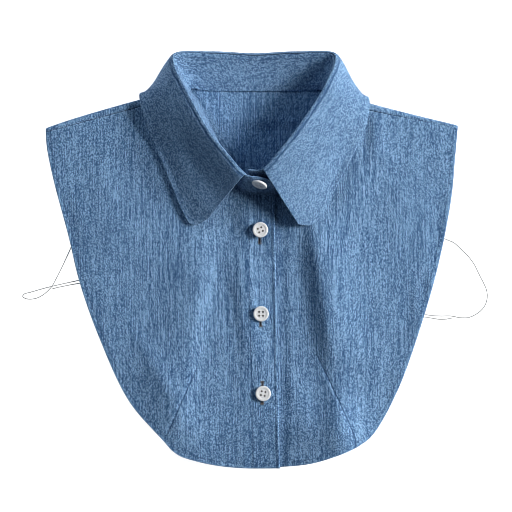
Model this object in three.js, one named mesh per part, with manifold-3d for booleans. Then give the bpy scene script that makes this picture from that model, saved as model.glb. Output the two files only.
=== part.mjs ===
// Detachable shirt collar: a short bib, front and back, with a stand and a turned-down collar leaf.
// It lies on its back panel as it would on a table, the neck towards +Y and the buttons facing +Z.
// Millimetres. The origin is on the table, under the middle of the garment. Left and right are the viewer's.

import * as THREE from 'three';
import { mergeVertices } from 'three/addons/utils/BufferGeometryUtils.js';
import Module from 'manifold-3d';

const wasm = await Module();
wasm.setup();

// Cloth
const PANEL_CLOTH = 1.2; // wall of a bib panel
const COLLAR_CLOTH = 1.6; // wall of the stand and of the leaf, two layers with interlining
const GAP = 0.3; // clearance between pieces that meet

// How the garment lies
const BIB_RISE = 4.4; // top of the front above the table, away from the neck
const NECK_RISE = 4.8; // how much more the front stands up round the throat
const NECK_CENTRE = { x: 2, y: 104 };
const NECK_RADIUS = { x: 58, y: 52 };
// Where the rise round the throat is whole and where it ends to each side, as shares of the neck radius
const NECK_SPREAD = { inner: 1.05, left: 1.8, right: 2.1 };
const SHOULDER_CALM = { from: 95, to: 134, keep: 0.3 }; // the rise dies away up the shoulders
const LEAF_ROOM = 2.2; // the back panel lifts this much over the leaf that is folded beneath it
const LEAF_ROOM_AREA = { yFrom: 104, yTo: 114, xFrom: 90, xTo: 102 };
const PLACKET = { left: -2, right: 21, blend: 7, rise: 1.0 };
const UNDERLAP = { xFull: 23, xNone: 33, yFull: 60, yNone: 75, drop: 2.0 }; // right front, under the placket
const EDGE_CALM = { full: 140, none: 175, slope: 0.45, yMiddle: -20 }; // the soft folds die away at the sides
const BACK_ROWS_GATHER = 1.7; // the back's rows lie closer together towards the neck
const BACK_INSET = 3; // the back panel's sides and hem lie this far inside the front's

// Soft folds of the front: a ridge or a hollow along a line, with its half width to each side and its height.
// Each grows and dies away round its two ends, over these shares of its length.
const FOLD_FADE = { before: -0.35, after: 0.25 };
const FRONT_FOLDS = [
  { x0: 52, y0: 18, x1: 66, y1: -76, left: 11.5, right: 24, height: 7.8 },
  { x0: -43, y0: 6, x1: -55, y1: -112, left: 21, right: 10.5, height: 3.6 },
  { x0: -82, y0: -76, x1: -52, y1: -142, left: 17, right: 16, height: 3.2 },
  { x0: 70, y0: -102, x1: 73, y1: -150, left: 13, right: 16, height: 4.4 },
  { x0: 58, y0: -124, x1: 66, y1: -172, left: 42, right: 28, height: 6.5 },
  { x0: -7, y0: 0, x1: 2, y1: -80, left: 12, right: 10, height: 2.4 },
  { x0: -19, y0: 40, x1: -16, y1: 20, left: 12, right: 9, height: -1.6 },
  { x0: 101, y0: 116, x1: 100, y1: 84, left: 6, right: 12, height: 2.1 },
  { x0: 144, y0: -14, x1: 136, y1: -62, left: 7, right: 9, height: 1.8 },
];

// Outline of the front, drawn from the hem corner up the side to the shoulder tip
const LEFT_SIDE = [
  { x: -64, y: -151 }, { x: -69.6, y: -144.4 }, { x: -97.6, y: -112.2 }, { x: -121.7, y: -61 },
  { x: -137.4, y: -16.6 }, { x: -146.5, y: 21 }, { x: -158.3, y: 65.4 }, { x: -163.6, y: 91.5 },
  { x: -164.4, y: 103.2 },
];
const RIGHT_SIDE = [
  { x: 84.5, y: -148.2 }, { x: 96.3, y: -139.4 }, { x: 117, y: -102.9 }, { x: 138.6, y: -41.4 },
  { x: 151, y: 4.2 }, { x: 160, y: 52.3 }, { x: 162.4, y: 78.4 }, { x: 164.8, y: 106.3 },
];
const LEFT_HEM = [
  { x: -64, y: -151 }, { x: -57.4, y: -155.6 }, { x: -46.8, y: -159.2 }, { x: -30, y: -163 },
  { x: -8, y: -165.3 }, { x: 22.6, y: -165.4 },
];
const RIGHT_HEM = [
  { x: -4, y: -164.8 }, { x: 22, y: -164.3 }, { x: 48, y: -161.4 }, { x: 71.5, y: -154 },
  { x: 84.5, y: -148.2 },
];
const PLACKET_EDGE = [{ x: 22.6, y: -165.4 }, { x: 20.6, y: -60 }, { x: 18.6, y: 38 }, { x: 19, y: 53.6 }];
const UNDERLAP_EDGE = [{ x: -4, y: -164.8 }, { x: -5, y: -60 }, { x: -5.6, y: 38 }, { x: -5, y: 58.6 }];

// Shoulders: the fold of the back panel over the shoulder, and the seam a little way down the front
const LEFT_SHOULDER = { tip: { x: -164.4, y: 106.6 }, bend: { x: -143.8, y: 113.7 },
  mid: { x: -92, y: 128.6 }, neck: { x: -51.5, y: 138 } };
const RIGHT_SHOULDER = { tip: { x: 164.8, y: 108.9 }, bend: { x: 134.2, y: 116.3 },
  mid: { x: 94, y: 126.6 }, neck: { x: 60.5, y: 136.4 } };
const LEFT_SEAM = { tip: { x: -164.4, y: 103.2 }, neck: { x: -46.8, y: 134.6 } };
const RIGHT_SEAM = { tip: { x: 164.8, y: 106.3 }, neck: { x: 56.6, y: 127.8 } };
const BACK_NECK_Y = 138;

// Sections round the neck, from the tab with the buttonhole, round the back, to the tab beneath it.
// seam and top: lower and upper edge of the stand. bend: the leaf half way out. edge: its rim.
// tuck: where the leaf has gone round the shoulder or the back, between bend and edge.
const SECTIONS = [
  { name: 'over_tab_end', seam: [19, 54.6, 11], top: [18.4, 63, 26.4] },
  { name: 'neck_button', seam: [6, 54.2, 11.2], top: [6.6, 66.4, 29.4] },
  { name: 'left_leaf_front', seam: [-9.6, 59, 11.2], top: [-4.8, 68.6, 31],
    bend: [-22.6, 48.6, 20], edge: [-44.8, 20.6, 7] },
  { name: 'left_front', seam: [-19.6, 81.6, 10.6], top: [-18, 83.6, 32.4],
    bend: [-37, 68, 19.4], edge: [-56.4, 42, 9] },
  { name: 'left_middle', seam: [-30.8, 103.6, 9.8], top: [-32.6, 102, 32.2],
    bend: [-51.5, 91, 20.4], edge: [-69.6, 74.6, 10] },
  { name: 'left_shoulder', seam: [-44.4, 130.4, 8.2], top: [-48.6, 130, 28.6],
    bend: [-66.4, 118.4, 21.6], edge: [-83, 106.6, 10.6] },
  { name: 'left_rise', seam: [-48.6, 135.4, 7.8], top: [-55, 142.4, 25.4],
    bend: [-72, 131.8, 19.6], edge: [-88.2, 124, 10.6] },
  { name: 'left_over', seam: [-49.4, 138.6, 7.2], top: [-58.4, 149, 22.6],
    bend: [-72.4, 140.6, 16.4], tuck: [-83.2, 135, 8.8], edge: [-89, 133.6, 3.8] },
  { name: 'left_turn', seam: [-47.4, 139.6, 6], top: [-60.6, 155.2, 19.6],
    bend: [-75, 145.4, 7.8], tuck: [-81.4, 137, 1.5], edge: [-84.8, 129.4, 0.9] },
  { name: 'left_corner', seam: [-42, 139.2, 4.9], top: [-60.2, 163.6, 15.2],
    bend: [-67, 156.6, 6], tuck: [-67, 140, 1], edge: [-67.6, 120.6, 0.9] },
  { name: 'back_left', seam: [-22, 138.4, 4.6], top: [-31, 165, 10.6],
    bend: [-30.4, 157.6, 3], tuck: [-29, 140, 0.9], edge: [-28, 119.4, 0.9] },
  { name: 'back_centre', seam: [2, 138.2, 4.6], top: [2, 163.4, 8.6],
    bend: [2, 156, 2.6], tuck: [2, 139, 0.9], edge: [2, 118.8, 0.9] },
  { name: 'back_right', seam: [27, 138.4, 4.6], top: [35, 164.8, 12],
    bend: [34.4, 157.4, 3], tuck: [33, 140, 0.9], edge: [32, 119.4, 0.9] },
  { name: 'right_corner', seam: [50, 139, 4.9], top: [65.2, 163.4, 18.4],
    bend: [72, 156, 6.2], tuck: [72, 140, 1], edge: [72.6, 120.4, 0.9] },
  { name: 'right_turn', seam: [56.4, 138.6, 6], top: [65, 153.4, 23.2],
    bend: [79.8, 143.8, 8.2], tuck: [86.2, 135, 1.5], edge: [89.2, 125.6, 0.9] },
  { name: 'right_over', seam: [58.8, 136, 7.2], top: [61.6, 145.6, 26.2],
    bend: [76.4, 137.8, 16.8], tuck: [87.6, 132.4, 9], edge: [93.4, 130.8, 4.2] },
  { name: 'right_rise', seam: [59, 131.6, 7.8], top: [58, 137.4, 28.4],
    bend: [76.8, 128.2, 19.6], edge: [93.8, 121.2, 10.2] },
  { name: 'right_shoulder', seam: [55.6, 124.4, 8.4], top: [52, 127.6, 29.4],
    bend: [72.6, 116, 21.6], edge: [89.6, 103.6, 12] },
  { name: 'right_middle', seam: [41.6, 102.6, 9.8], top: [37.4, 106, 32.4],
    bend: [58.6, 90.6, 23.6], edge: [75.4, 74.6, 9.6] },
  { name: 'right_front', seam: [28.6, 83.4, 10.6], top: [23.6, 88.4, 32.8],
    bend: [42.6, 67.6, 25], edge: [59.4, 43.4, 11.4] },
  { name: 'right_leaf_front', seam: [14.4, 64.4, 9.4], top: [9.2, 72.8, 31.4],
    bend: [24.2, 49, 27.2], edge: [46.4, 14.9, 10.4] },
  { name: 'under_tab_end', seam: [-3.4, 61.4, 8.6], top: [-2.8, 72.4, 29.2] },
];
const LEAF_FIRST = SECTIONS.findIndex((row) => row.bend);
const LEAF_LAST = SECTIONS.findLastIndex((row) => row.bend);
// The leaf's fold over the stand's top edge: its height over it, its inner start and its outer shoulder
const LEAF_FOLD = { height: 1.7, startAside: -0.6, shoulderShare: 0.9, shoulderAside: 2.4 };
const LEAF_GATHER = 0.55; // how much closer the leaf's columns lie at its points and at the back
const TABLE_CLEARANCE = 0.06; // under the leaf where it lies on the table
// How the leaf's points are rounded: shares of its length and of its sections, and how bluntly
const TIP_ROUND = { along: 0.035, left: { across: 0.246, bluntness: 2.9 },
  right: { across: 0.211, bluntness: 1.4 } };

// Buttons
const BUTTON = { radius: 6.2, rim: 2.1, rimSoft: 0.8, rimWidth: 1.5, dish: 1.5, dishRadius: 3.6,
  hole: 0.7, spacing: 1.6, sides: 18, holeSides: 8 };
const BUTTON_SEAT = 0.9; // share of the button's radius within which the front's top is felt for
const PLACKET_BUTTONS = [
  { x: 7, y: 25.1, turn: 23 }, { x: 7.6, y: -41.9, turn: 0 }, { x: 9.3, y: -105.6, turn: -12 },
];
const NECK_BUTTON = { station: 0.92, height: 0.82, lean: 66, roll: -18, turn: 8, stand: 1.7 };

// Elastic cords: each loop runs from the back panel's edge to under the front's edge,
// and its end, turned back there, lies beside it as a short tail
const CORD = { radius: 0.4, sides: 8 };
const FLOOR_Z = 0.42;
const CORD_ROUTES = [
  { name: 'cord_left', steps: 56, points: [
    [-143.1, 14.4, 0.6], [-145.1, 9.4, FLOOR_Z], [-147.8, 3.5, FLOOR_Z], [-150.5, -2.6, FLOOR_Z],
    [-153.4, -8.6, FLOOR_Z], [-156.3, -14.2, FLOOR_Z], [-159.3, -19.6, FLOOR_Z], [-162.9, -23.8, FLOOR_Z],
    [-167.2, -27.2, FLOOR_Z], [-171.7, -29.4, FLOOR_Z], [-176.2, -30.2, FLOOR_Z], [-180.4, -29.8, FLOOR_Z],
    [-182.9, -28.1, FLOOR_Z], [-181.6, -26.1, FLOOR_Z], [-177.4, -24.9, FLOOR_Z], [-171.2, -23.1, 0.6],
    [-165.4, -21.5, 1.15], [-160, -20.1, 1.5], [-154.4, -18.8, 1.15], [-148.6, -17.5, 0.6],
    [-142.7, -16.2, 0.7], [-137, -15, 1.5], [-129.6, -13.6, 2.2],
  ] },
  { name: 'cord_right', steps: 50, points: [
    [152.8, 19.1, 0.6], [156.3, 17.4, FLOOR_Z], [162, 14.9, FLOOR_Z], [168.5, 9, FLOOR_Z],
    [174.2, 3.2, FLOOR_Z], [178.6, -3, FLOOR_Z], [182.1, -10.2, FLOOR_Z], [185.9, -17.6, FLOOR_Z],
    [188.2, -23.2, FLOOR_Z], [188.7, -29, FLOOR_Z], [187, -35, FLOOR_Z], [183.4, -39.6, FLOOR_Z],
    [178.9, -42.8, FLOOR_Z], [173.8, -44.9, FLOOR_Z], [167, -45, FLOOR_Z], [159.7, -43.7, FLOOR_Z],
    [151.4, -43.7, FLOOR_Z], [144.2, -43.3, 0.6], [137.6, -42.2, 1.5], [129.8, -40.4, 2.2],
  ] },
  { name: 'cord_tail_left', steps: 13, points: [
    [-130.4, -16.6, 2.2], [-137.4, -17.6, 1.5], [-143.2, -18.5, FLOOR_Z], [-149.2, -19.7, FLOOR_Z],
    [-155, -20.9, FLOOR_Z], [-159.9, -22.3, FLOOR_Z],
  ] },
  { name: 'cord_tail_right', steps: 13, points: [
    [129.2, -43.3, 2.2], [136.6, -44.2, 1.5], [143.2, -45.2, FLOOR_Z], [150.2, -46.3, FLOOR_Z],
    [155.8, -46.2, FLOOR_Z], [160.2, -45.4, FLOOR_Z],
  ] },
];

// Grid sizes: rows and columns of each piece's mesh
const GRID = {
  front: { across: 17, along: 25 },
  back: { shoulder: 7, neck: 6, along: 13, fold: 4 },
  stand: { around: 64, up: 2 },
  leaf: { around: 60, out: 8 },
};

const denim = new THREE.MeshStandardMaterial({ color: 0x6f95bf, roughness: 0.9, metalness: 0 });
const denimCollar = new THREE.MeshStandardMaterial({ color: 0x6a91bd, roughness: 0.9, metalness: 0 });
const pearl = new THREE.MeshStandardMaterial({ color: 0xe9eaec, roughness: 0.3, metalness: 0 });
const elastic = new THREE.MeshStandardMaterial({ color: 0xdedede, roughness: 0.5, metalness: 0 });

const vector = ({ x, y }) => new THREE.Vector3(x, y, 0);
const lerp = THREE.MathUtils.lerp;
const rise = (value, from, to) => {
  const share = THREE.MathUtils.clamp((value - from) / (to - from), 0, 1);
  return share * share * (3 - 2 * share);
};

function curveThrough(points) {
  return new THREE.CatmullRomCurve3(points, false, 'centripetal');
}

// One path made of several curves, so that a corner between two of them stays sharp
function pathOf(...curves) {
  const path = new THREE.CurvePath();
  curves.forEach((curve) => path.add(curve));
  return path;
}

// Height of one soft fold at a point: a smooth ridge that fades at its ends
function foldHeight(fold, x, y) {
  const dx = fold.x1 - fold.x0;
  const dy = fold.y1 - fold.y0;
  const length = Math.hypot(dx, dy);
  const along = ((x - fold.x0) * dx + (y - fold.y0) * dy) / length;
  const aside = ((x - fold.x0) * dy - (y - fold.y0) * dx) / length;
  const { before, after } = FOLD_FADE;
  const fade = rise(along, before * length, after * length)
    * rise(along, (1 - before) * length, (1 - after) * length);
  return fold.height * fade * Math.exp(-((aside / (aside > 0 ? fold.left : fold.right)) ** 2));
}

// Top of the front above the table
function frontTop(x, y) {
  const reach = Math.hypot((x - NECK_CENTRE.x) / NECK_RADIUS.x, (y - NECK_CENTRE.y) / NECK_RADIUS.y);
  const calm = lerp(1, SHOULDER_CALM.keep, rise(y, SHOULDER_CALM.from, SHOULDER_CALM.to));
  const toRight = rise(x, NECK_CENTRE.x - NECK_RADIUS.x, NECK_CENTRE.x + NECK_RADIUS.x);
  const outer = lerp(NECK_SPREAD.left, NECK_SPREAD.right, toRight);
  const neck = NECK_RISE * calm * rise(reach, outer, NECK_SPREAD.inner);
  const placket = PLACKET.rise * rise(x, PLACKET.left - 2 * PLACKET.blend, PLACKET.left)
    * rise(x, PLACKET.right + 2 * PLACKET.blend, PLACKET.right);
  const folds = FRONT_FOLDS.reduce((sum, fold) => sum + foldHeight(fold, x, y), 0);
  const side = rise(Math.abs(x) + EDGE_CALM.slope * Math.abs(y - EDGE_CALM.yMiddle), EDGE_CALM.none,
    EDGE_CALM.full);
  return BIB_RISE + neck + placket + folds * side;
}

// Underside of the back panel: on the table, and lifted over the leaf beneath it at the neck
function backUnderside(x, y) {
  const area = LEAF_ROOM_AREA;
  return LEAF_ROOM * rise(y, area.yFrom, area.yTo) * rise(Math.abs(x - NECK_CENTRE.x), area.xTo, area.xFrom);
}

// A closed wall of cloth round a grid of points on its middle surface. keep(i, j) says which cells exist.
function clothWall(points, thickness, keep = () => true) {
  const nu = points.length;
  const nv = points[0].length;
  const kept = (i, j) => i >= 0 && j >= 0 && i < nu - 1 && j < nv - 1 && keep(i, j);
  const normals = points.map((column) => column.map(() => new THREE.Vector3()));
  for (let i = 0; i < nu - 1; i += 1) {
    for (let j = 0; j < nv - 1; j += 1) {
      if (kept(i, j)) {
        const diagonalA = new THREE.Vector3().subVectors(points[i + 1][j + 1], points[i][j]);
        const diagonalB = new THREE.Vector3().subVectors(points[i][j + 1], points[i + 1][j]);
        const face = diagonalA.cross(diagonalB);
        [[i, j], [i + 1, j], [i + 1, j + 1], [i, j + 1]].forEach(([a, b]) => normals[a][b].add(face));
      }
    }
  }
  const positions = [];
  const side = (sign) => points.map((column, i) => column.map((point, j) => {
    const shift = normals[i][j].clone().normalize().multiplyScalar((sign * thickness) / 2);
    const moved = point.clone().add(shift);
    positions.push(moved.x, moved.y, moved.z);
    return positions.length / 3 - 1;
  }));
  const top = side(1);
  const bottom = side(-1);
  const index = [];
  const quad = (a, b, c, d) => index.push(a, b, c, a, c, d);
  for (let i = 0; i < nu - 1; i += 1) {
    for (let j = 0; j < nv - 1; j += 1) {
      if (kept(i, j)) {
        quad(top[i][j], top[i + 1][j], top[i + 1][j + 1], top[i][j + 1]);
        quad(bottom[i][j], bottom[i][j + 1], bottom[i + 1][j + 1], bottom[i + 1][j]);
        const wall = ([a, b], [c, d]) => quad(bottom[a][b], bottom[c][d], top[c][d], top[a][b]);
        if (!kept(i, j - 1)) wall([i, j], [i + 1, j]);
        if (!kept(i + 1, j)) wall([i + 1, j], [i + 1, j + 1]);
        if (!kept(i, j + 1)) wall([i + 1, j + 1], [i, j + 1]);
        if (!kept(i - 1, j)) wall([i, j + 1], [i, j]);
      }
    }
  }
  const used = [...new Set(index)];
  const renumber = new Map(used.map((old, fresh) => [old, fresh]));
  const geometry = new THREE.BufferGeometry();
  const packed = used.flatMap((old) => positions.slice(3 * old, 3 * old + 3));
  geometry.setAttribute('position', new THREE.Float32BufferAttribute(packed, 3));
  geometry.setIndex(index.map((old) => renumber.get(old)));
  geometry.computeVertexNormals();
  return geometry;
}

// A four-sided patch: points between two upright edges, bent to follow the lower edge as well
function patchPoint(edges, u, v) {
  const west = edges.west.getPointAt(v);
  const east = edges.east.getPointAt(v);
  const south = edges.south.getPointAt(u);
  const chord = edges.south.getPointAt(0).lerp(edges.south.getPointAt(1), u);
  return west.lerp(east, u).add(south.sub(chord).multiplyScalar((1 - v) ** 2));
}

function frontGeometry(edges, height) {
  const { across, along } = GRID.front;
  const points = [];
  for (let i = 0; i <= across; i += 1) {
    const column = [];
    for (let j = 0; j <= along; j += 1) {
      const point = patchPoint(edges, i / across, j / along);
      point.z = height(point.x, point.y) - PANEL_CLOTH / 2;
      column.push(point);
    }
    points.push(column);
  }
  return clothWall(points, PANEL_CLOTH);
}

// Neckline of a front: the stand's seam from its tab to the end of the shoulder seam
function neckline(names, end) {
  const rows = names.map((name) => SECTIONS.find((row) => row.name === name));
  const points = rows.map(({ seam }) => new THREE.Vector3(seam[0], seam[1], 0));
  return curveThrough([...points, vector(end)]);
}

function leftFrontGeometry() {
  const neck = neckline(['over_tab_end', 'neck_button', 'left_leaf_front', 'left_front', 'left_middle',
    'left_shoulder'], LEFT_SEAM.neck);
  const edges = {
    west: curveThrough(LEFT_SIDE.map(vector)),
    east: pathOf(curveThrough(PLACKET_EDGE.map(vector)), neck),
    south: curveThrough(LEFT_HEM.map(vector)),
  };
  return frontGeometry(edges, frontTop);
}

function rightFrontGeometry() {
  const neck = neckline(['under_tab_end', 'right_leaf_front', 'right_front', 'right_middle'],
    RIGHT_SEAM.neck);
  const edges = {
    west: pathOf(curveThrough(UNDERLAP_EDGE.map(vector)), neck),
    east: curveThrough(RIGHT_SIDE.map(vector)),
    south: curveThrough(RIGHT_HEM.map(vector)),
  };
  const height = (x, y) => {
    const along = rise(y, UNDERLAP.yNone, UNDERLAP.yFull);
    return frontTop(x, y) - UNDERLAP.drop * along * rise(x, UNDERLAP.xNone, UNDERLAP.xFull);
  };
  return frontGeometry(edges, height);
}

// The back panel with its two strips, which fold over the shoulders and end at the front's seams
function backGeometry() {
  const shoulderCurve = (s) => curveThrough([s.tip, s.bend, s.mid, s.neck].map(vector));
  const left = shoulderCurve(LEFT_SHOULDER);
  const right = shoulderCurve(RIGHT_SHOULDER);
  const { shoulder, neck, along, fold } = GRID.back;
  const columns = 2 * shoulder + neck;
  const inset = (rows, sign) => rows.map(({ x, y }) => vector({ x: x + sign * BACK_INSET, y }));
  const west = curveThrough([...inset(LEFT_SIDE.slice(0, -1), 1), vector(LEFT_SHOULDER.tip)]);
  const east = curveThrough([...inset(RIGHT_SIDE.slice(0, -1), -1), vector(RIGHT_SHOULDER.tip)]);
  const hemPoints = [...LEFT_HEM.slice(0, -1), ...RIGHT_HEM.slice(1)];
  const hem = curveThrough(hemPoints.map(({ x, y }, k) => {
    const end = k === 0 ? 1 : k === hemPoints.length - 1 ? -1 : 0;
    return vector({ x: x + end * BACK_INSET, y: y + (end ? 0 : BACK_INSET) });
  }));

  // Where column i meets the top: the point, its strip's width and the way down the front from it
  const topOf = (i) => {
    if (i < shoulder) {
      const u = i / shoulder;
      const edge = left.getPointAt(u);
      const seam = vector(LEFT_SEAM.tip).lerp(vector(LEFT_SEAM.neck), u);
      return { edge, seam };
    }
    if (i > shoulder + neck) {
      const u = (columns - i) / shoulder;
      const edge = right.getPointAt(u);
      const seam = vector(RIGHT_SEAM.tip).lerp(vector(RIGHT_SEAM.neck), u);
      return { edge, seam };
    }
    const u = (i - shoulder) / neck;
    const edge = vector({ x: lerp(LEFT_SHOULDER.neck.x, RIGHT_SHOULDER.neck.x, u), y: 0 });
    const atLeft = u === 0;
    const atRight = u === 1;
    edge.y = atLeft ? LEFT_SHOULDER.neck.y : atRight ? RIGHT_SHOULDER.neck.y : BACK_NECK_Y;
    const seam = atLeft ? vector(LEFT_SEAM.neck) : atRight ? vector(RIGHT_SEAM.neck) : edge.clone();
    return { edge, seam };
  };

  const points = [];
  for (let i = 0; i <= columns; i += 1) {
    const { edge, seam } = topOf(i);
    const hasStrip = i <= shoulder || i >= shoulder + neck;
    const down = seam.clone().sub(edge);
    const width = down.length();
    if (hasStrip) down.normalize();
    const zLow = backUnderside(edge.x, edge.y) + PANEL_CLOTH / 2;
    const zHigh = frontTop(seam.x, seam.y) - PANEL_CLOTH / 2;
    const radius = Math.min((zHigh - zLow) / 2, width / 2);
    const centre = edge.clone().addScaledVector(down, hasStrip ? PANEL_CLOTH / 2 + radius : 0);
    const u = i / columns;
    const foot = hem.getPointAt(u);
    const column = [];
    for (let j = 0; j <= along; j += 1) {
      const v = 1 - (1 - j / along) ** BACK_ROWS_GATHER;
      const straight = foot.clone().lerp(centre, v);
      const ends = west.getPointAt(v).lerp(east.getPointAt(v), u);
      const endsStraight = west.getPointAt(0).lerp(east.getPointAt(0), u)
        .lerp(vector(LEFT_SHOULDER.tip).lerp(vector(RIGHT_SHOULDER.tip), u), v);
      const bow = ends.sub(endsStraight).multiplyScalar(j === along ? 0 : 1);
      const point = straight.add(bow);
      point.z = backUnderside(point.x, point.y) + PANEL_CLOTH / 2;
      column.push(point);
    }
    const zMid = (zLow + zHigh) / 2;
    for (let k = 1; k <= fold; k += 1) {
      const angle = lerp(-Math.PI / 2, Math.PI / 2, k / fold);
      const point = centre.clone().addScaledVector(down, -radius * Math.cos(angle));
      point.z = zMid + ((zHigh - zLow) / 2) * Math.sin(angle);
      column.push(point);
    }
    const last = seam.clone().addScaledVector(down, -GAP);
    last.z = zHigh;
    column.push(last);
    points.push(column);
  }
  const keep = (i, j) => j < along || i < shoulder || i >= shoulder + neck;
  return clothWall(points, PANEL_CLOTH, keep);
}

// A curve through one named column of the sections, from the section `first` to `last`.
// Where a section has no tuck, the leaf runs straight from bend to edge.
const columnCurve = (name, first, last) => (
  curveThrough(SECTIONS.slice(first, last + 1).map((row) => (row[name]
    ? new THREE.Vector3(...row[name])
    : new THREE.Vector3(...row.bend).lerp(new THREE.Vector3(...row.edge), 0.5)))));

const standSeam = columnCurve('seam', 0, SECTIONS.length - 1);
const standTop = columnCurve('top', 0, SECTIONS.length - 1);

function standGeometry() {
  const { around, up } = GRID.stand;
  const points = [];
  for (let i = 0; i <= around; i += 1) {
    const low = standSeam.getPoint(i / around);
    const high = standTop.getPoint(i / around);
    points.push(Array.from({ length: up + 1 }, (_, j) => low.clone().lerp(high, j / up)));
  }
  return clothWall(points, COLLAR_CLOTH);
}

// The leaf hangs from the stand's top edge: it rolls over it, falls to its bend and ends at its rim
function leafGeometry() {
  const bends = columnCurve('bend', LEAF_FIRST, LEAF_LAST);
  const tucks = columnCurve('tuck', LEAF_FIRST, LEAF_LAST);
  const rims = columnCurve('edge', LEAF_FIRST, LEAF_LAST);
  const { around, out } = GRID.leaf;
  const points = [];
  for (let i = 0; i <= around; i += 1) {
    const even = i / around;
    const s = even - (LEAF_GATHER * Math.sin(4 * Math.PI * even)) / (4 * Math.PI);
    const station = lerp(LEAF_FIRST, LEAF_LAST, s) / (SECTIONS.length - 1);
    const top = standTop.getPoint(station);
    const upward = top.clone().sub(standSeam.getPoint(station)).normalize();
    const bend = bends.getPoint(s);
    const away = bend.clone().sub(top);
    away.addScaledVector(upward, -away.dot(upward)).normalize();
    const { height, startAside, shoulderShare, shoulderAside } = LEAF_FOLD;
    const start = top.clone().addScaledVector(upward, height).addScaledVector(away, startAside);
    const shoulder = top.clone().addScaledVector(upward, height * shoulderShare)
      .addScaledVector(away, shoulderAside);
    const section = curveThrough([start, shoulder, bend, tucks.getPoint(s), rims.getPoint(s)]);
    const tip = s < 0.5 ? TIP_ROUND.left : TIP_ROUND.right;
    const inward = Math.max(1 - Math.min(s, 1 - s) / TIP_ROUND.along, 0);
    const trim = tip.across * inward ** tip.bluntness;
    points.push(Array.from({ length: out + 1 }, (_, j) => {
      const point = section.getPoint((1 - trim) * (j / out));
      point.z = Math.max(point.z, COLLAR_CLOTH / 2 + TABLE_CLEARANCE);
      return point;
    }));
  }
  return clothWall(points, COLLAR_CLOTH);
}

function solidOf(geometry) {
  const bare = geometry.clone();
  bare.deleteAttribute('normal');
  bare.deleteAttribute('uv');
  const merged = mergeVertices(bare, 1e-4);
  return new wasm.Manifold(new wasm.Mesh({
    numProp: 3,
    vertProperties: new Float32Array(merged.attributes.position.array),
    triVerts: new Uint32Array(merged.index.array),
  }));
}

function geometryOf(solid) {
  const mesh = solid.getMesh();
  const geometry = new THREE.BufferGeometry();
  geometry.setAttribute('position', new THREE.BufferAttribute(new Float32Array(mesh.vertProperties), 3));
  geometry.setIndex(new THREE.BufferAttribute(new Uint32Array(mesh.triVerts), 1));
  geometry.computeVertexNormals();
  return geometry;
}

// A flat-backed shirt button with a rounded rim, a shallow dish and four holes, its back at z = 0
function buttonGeometry() {
  const { radius, rim, rimSoft, rimWidth, dish, dishRadius, hole, spacing, sides, holeSides } = BUTTON;
  const profile = [
    [0, 0], [radius - rimSoft, 0], [radius, rimSoft], [radius, rim - rimSoft], [radius - rimSoft, rim],
    [radius - rimWidth, rim], [dishRadius, dish], [0, dish],
  ].map(([r, z]) => new THREE.Vector2(r, z));
  const disc = new THREE.LatheGeometry(profile, sides).rotateX(Math.PI / 2);
  let solid = solidOf(disc);
  for (const [i, j] of [[1, 1], [1, -1], [-1, 1], [-1, -1]]) {
    const drill = new THREE.CylinderGeometry(hole, hole, 4 * rim, holeSides).rotateX(Math.PI / 2);
    solid = solid.subtract(solidOf(drill.translate(i * spacing, j * spacing, 0)));
  }
  return geometryOf(solid);
}

function cordGeometry({ steps, points }) {
  const route = curveThrough(points.map((point) => new THREE.Vector3(...point)));
  const section = new THREE.Shape();
  section.absarc(0, 0, CORD.radius, 0, 2 * Math.PI);
  return new THREE.ExtrudeGeometry(section, { steps, curveSegments: CORD.sides / 2, extrudePath: route,
    bevelEnabled: false });
}

const group = new THREE.Group();

function add(name, geometry, material) {
  const mesh = new THREE.Mesh(geometry, material);
  mesh.name = name;
  group.add(mesh);
  return mesh;
}

add('back_panel', backGeometry(), denim);
add('front_left', leftFrontGeometry(), denim);
add('front_right', rightFrontGeometry(), denim);
add('collar_stand', standGeometry(), denimCollar);
add('collar_leaf', leafGeometry(), denimCollar);

const button = buttonGeometry();
PLACKET_BUTTONS.forEach(({ x, y, turn }, k) => {
  const mesh = add(`button_${k + 1}`, button, pearl);
  const reach = BUTTON.radius * BUTTON_SEAT;
  const corners = [[0, 0], [reach, 0], [-reach, 0], [0, reach], [0, -reach]];
  const seat = Math.max(...corners.map(([dx, dy]) => frontTop(x + dx, y + dy)));
  mesh.position.set(x, y, seat + GAP);
  mesh.rotation.z = THREE.MathUtils.degToRad(turn);
});
const neckButton = add('neck_button', button, pearl);
const station = NECK_BUTTON.station / (SECTIONS.length - 1);
const foot = standSeam.getPoint(station).lerp(standTop.getPoint(station), NECK_BUTTON.height);
neckButton.rotation.set(...['lean', 'roll', 'turn'].map((key) => THREE.MathUtils.degToRad(NECK_BUTTON[key])));
const facing = new THREE.Vector3(0, 0, 1).applyEuler(neckButton.rotation);
neckButton.position.copy(foot.addScaledVector(facing, COLLAR_CLOTH / 2 + NECK_BUTTON.stand));

CORD_ROUTES.forEach((route) => add(route.name, cordGeometry(route), elastic));

export default group;
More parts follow.
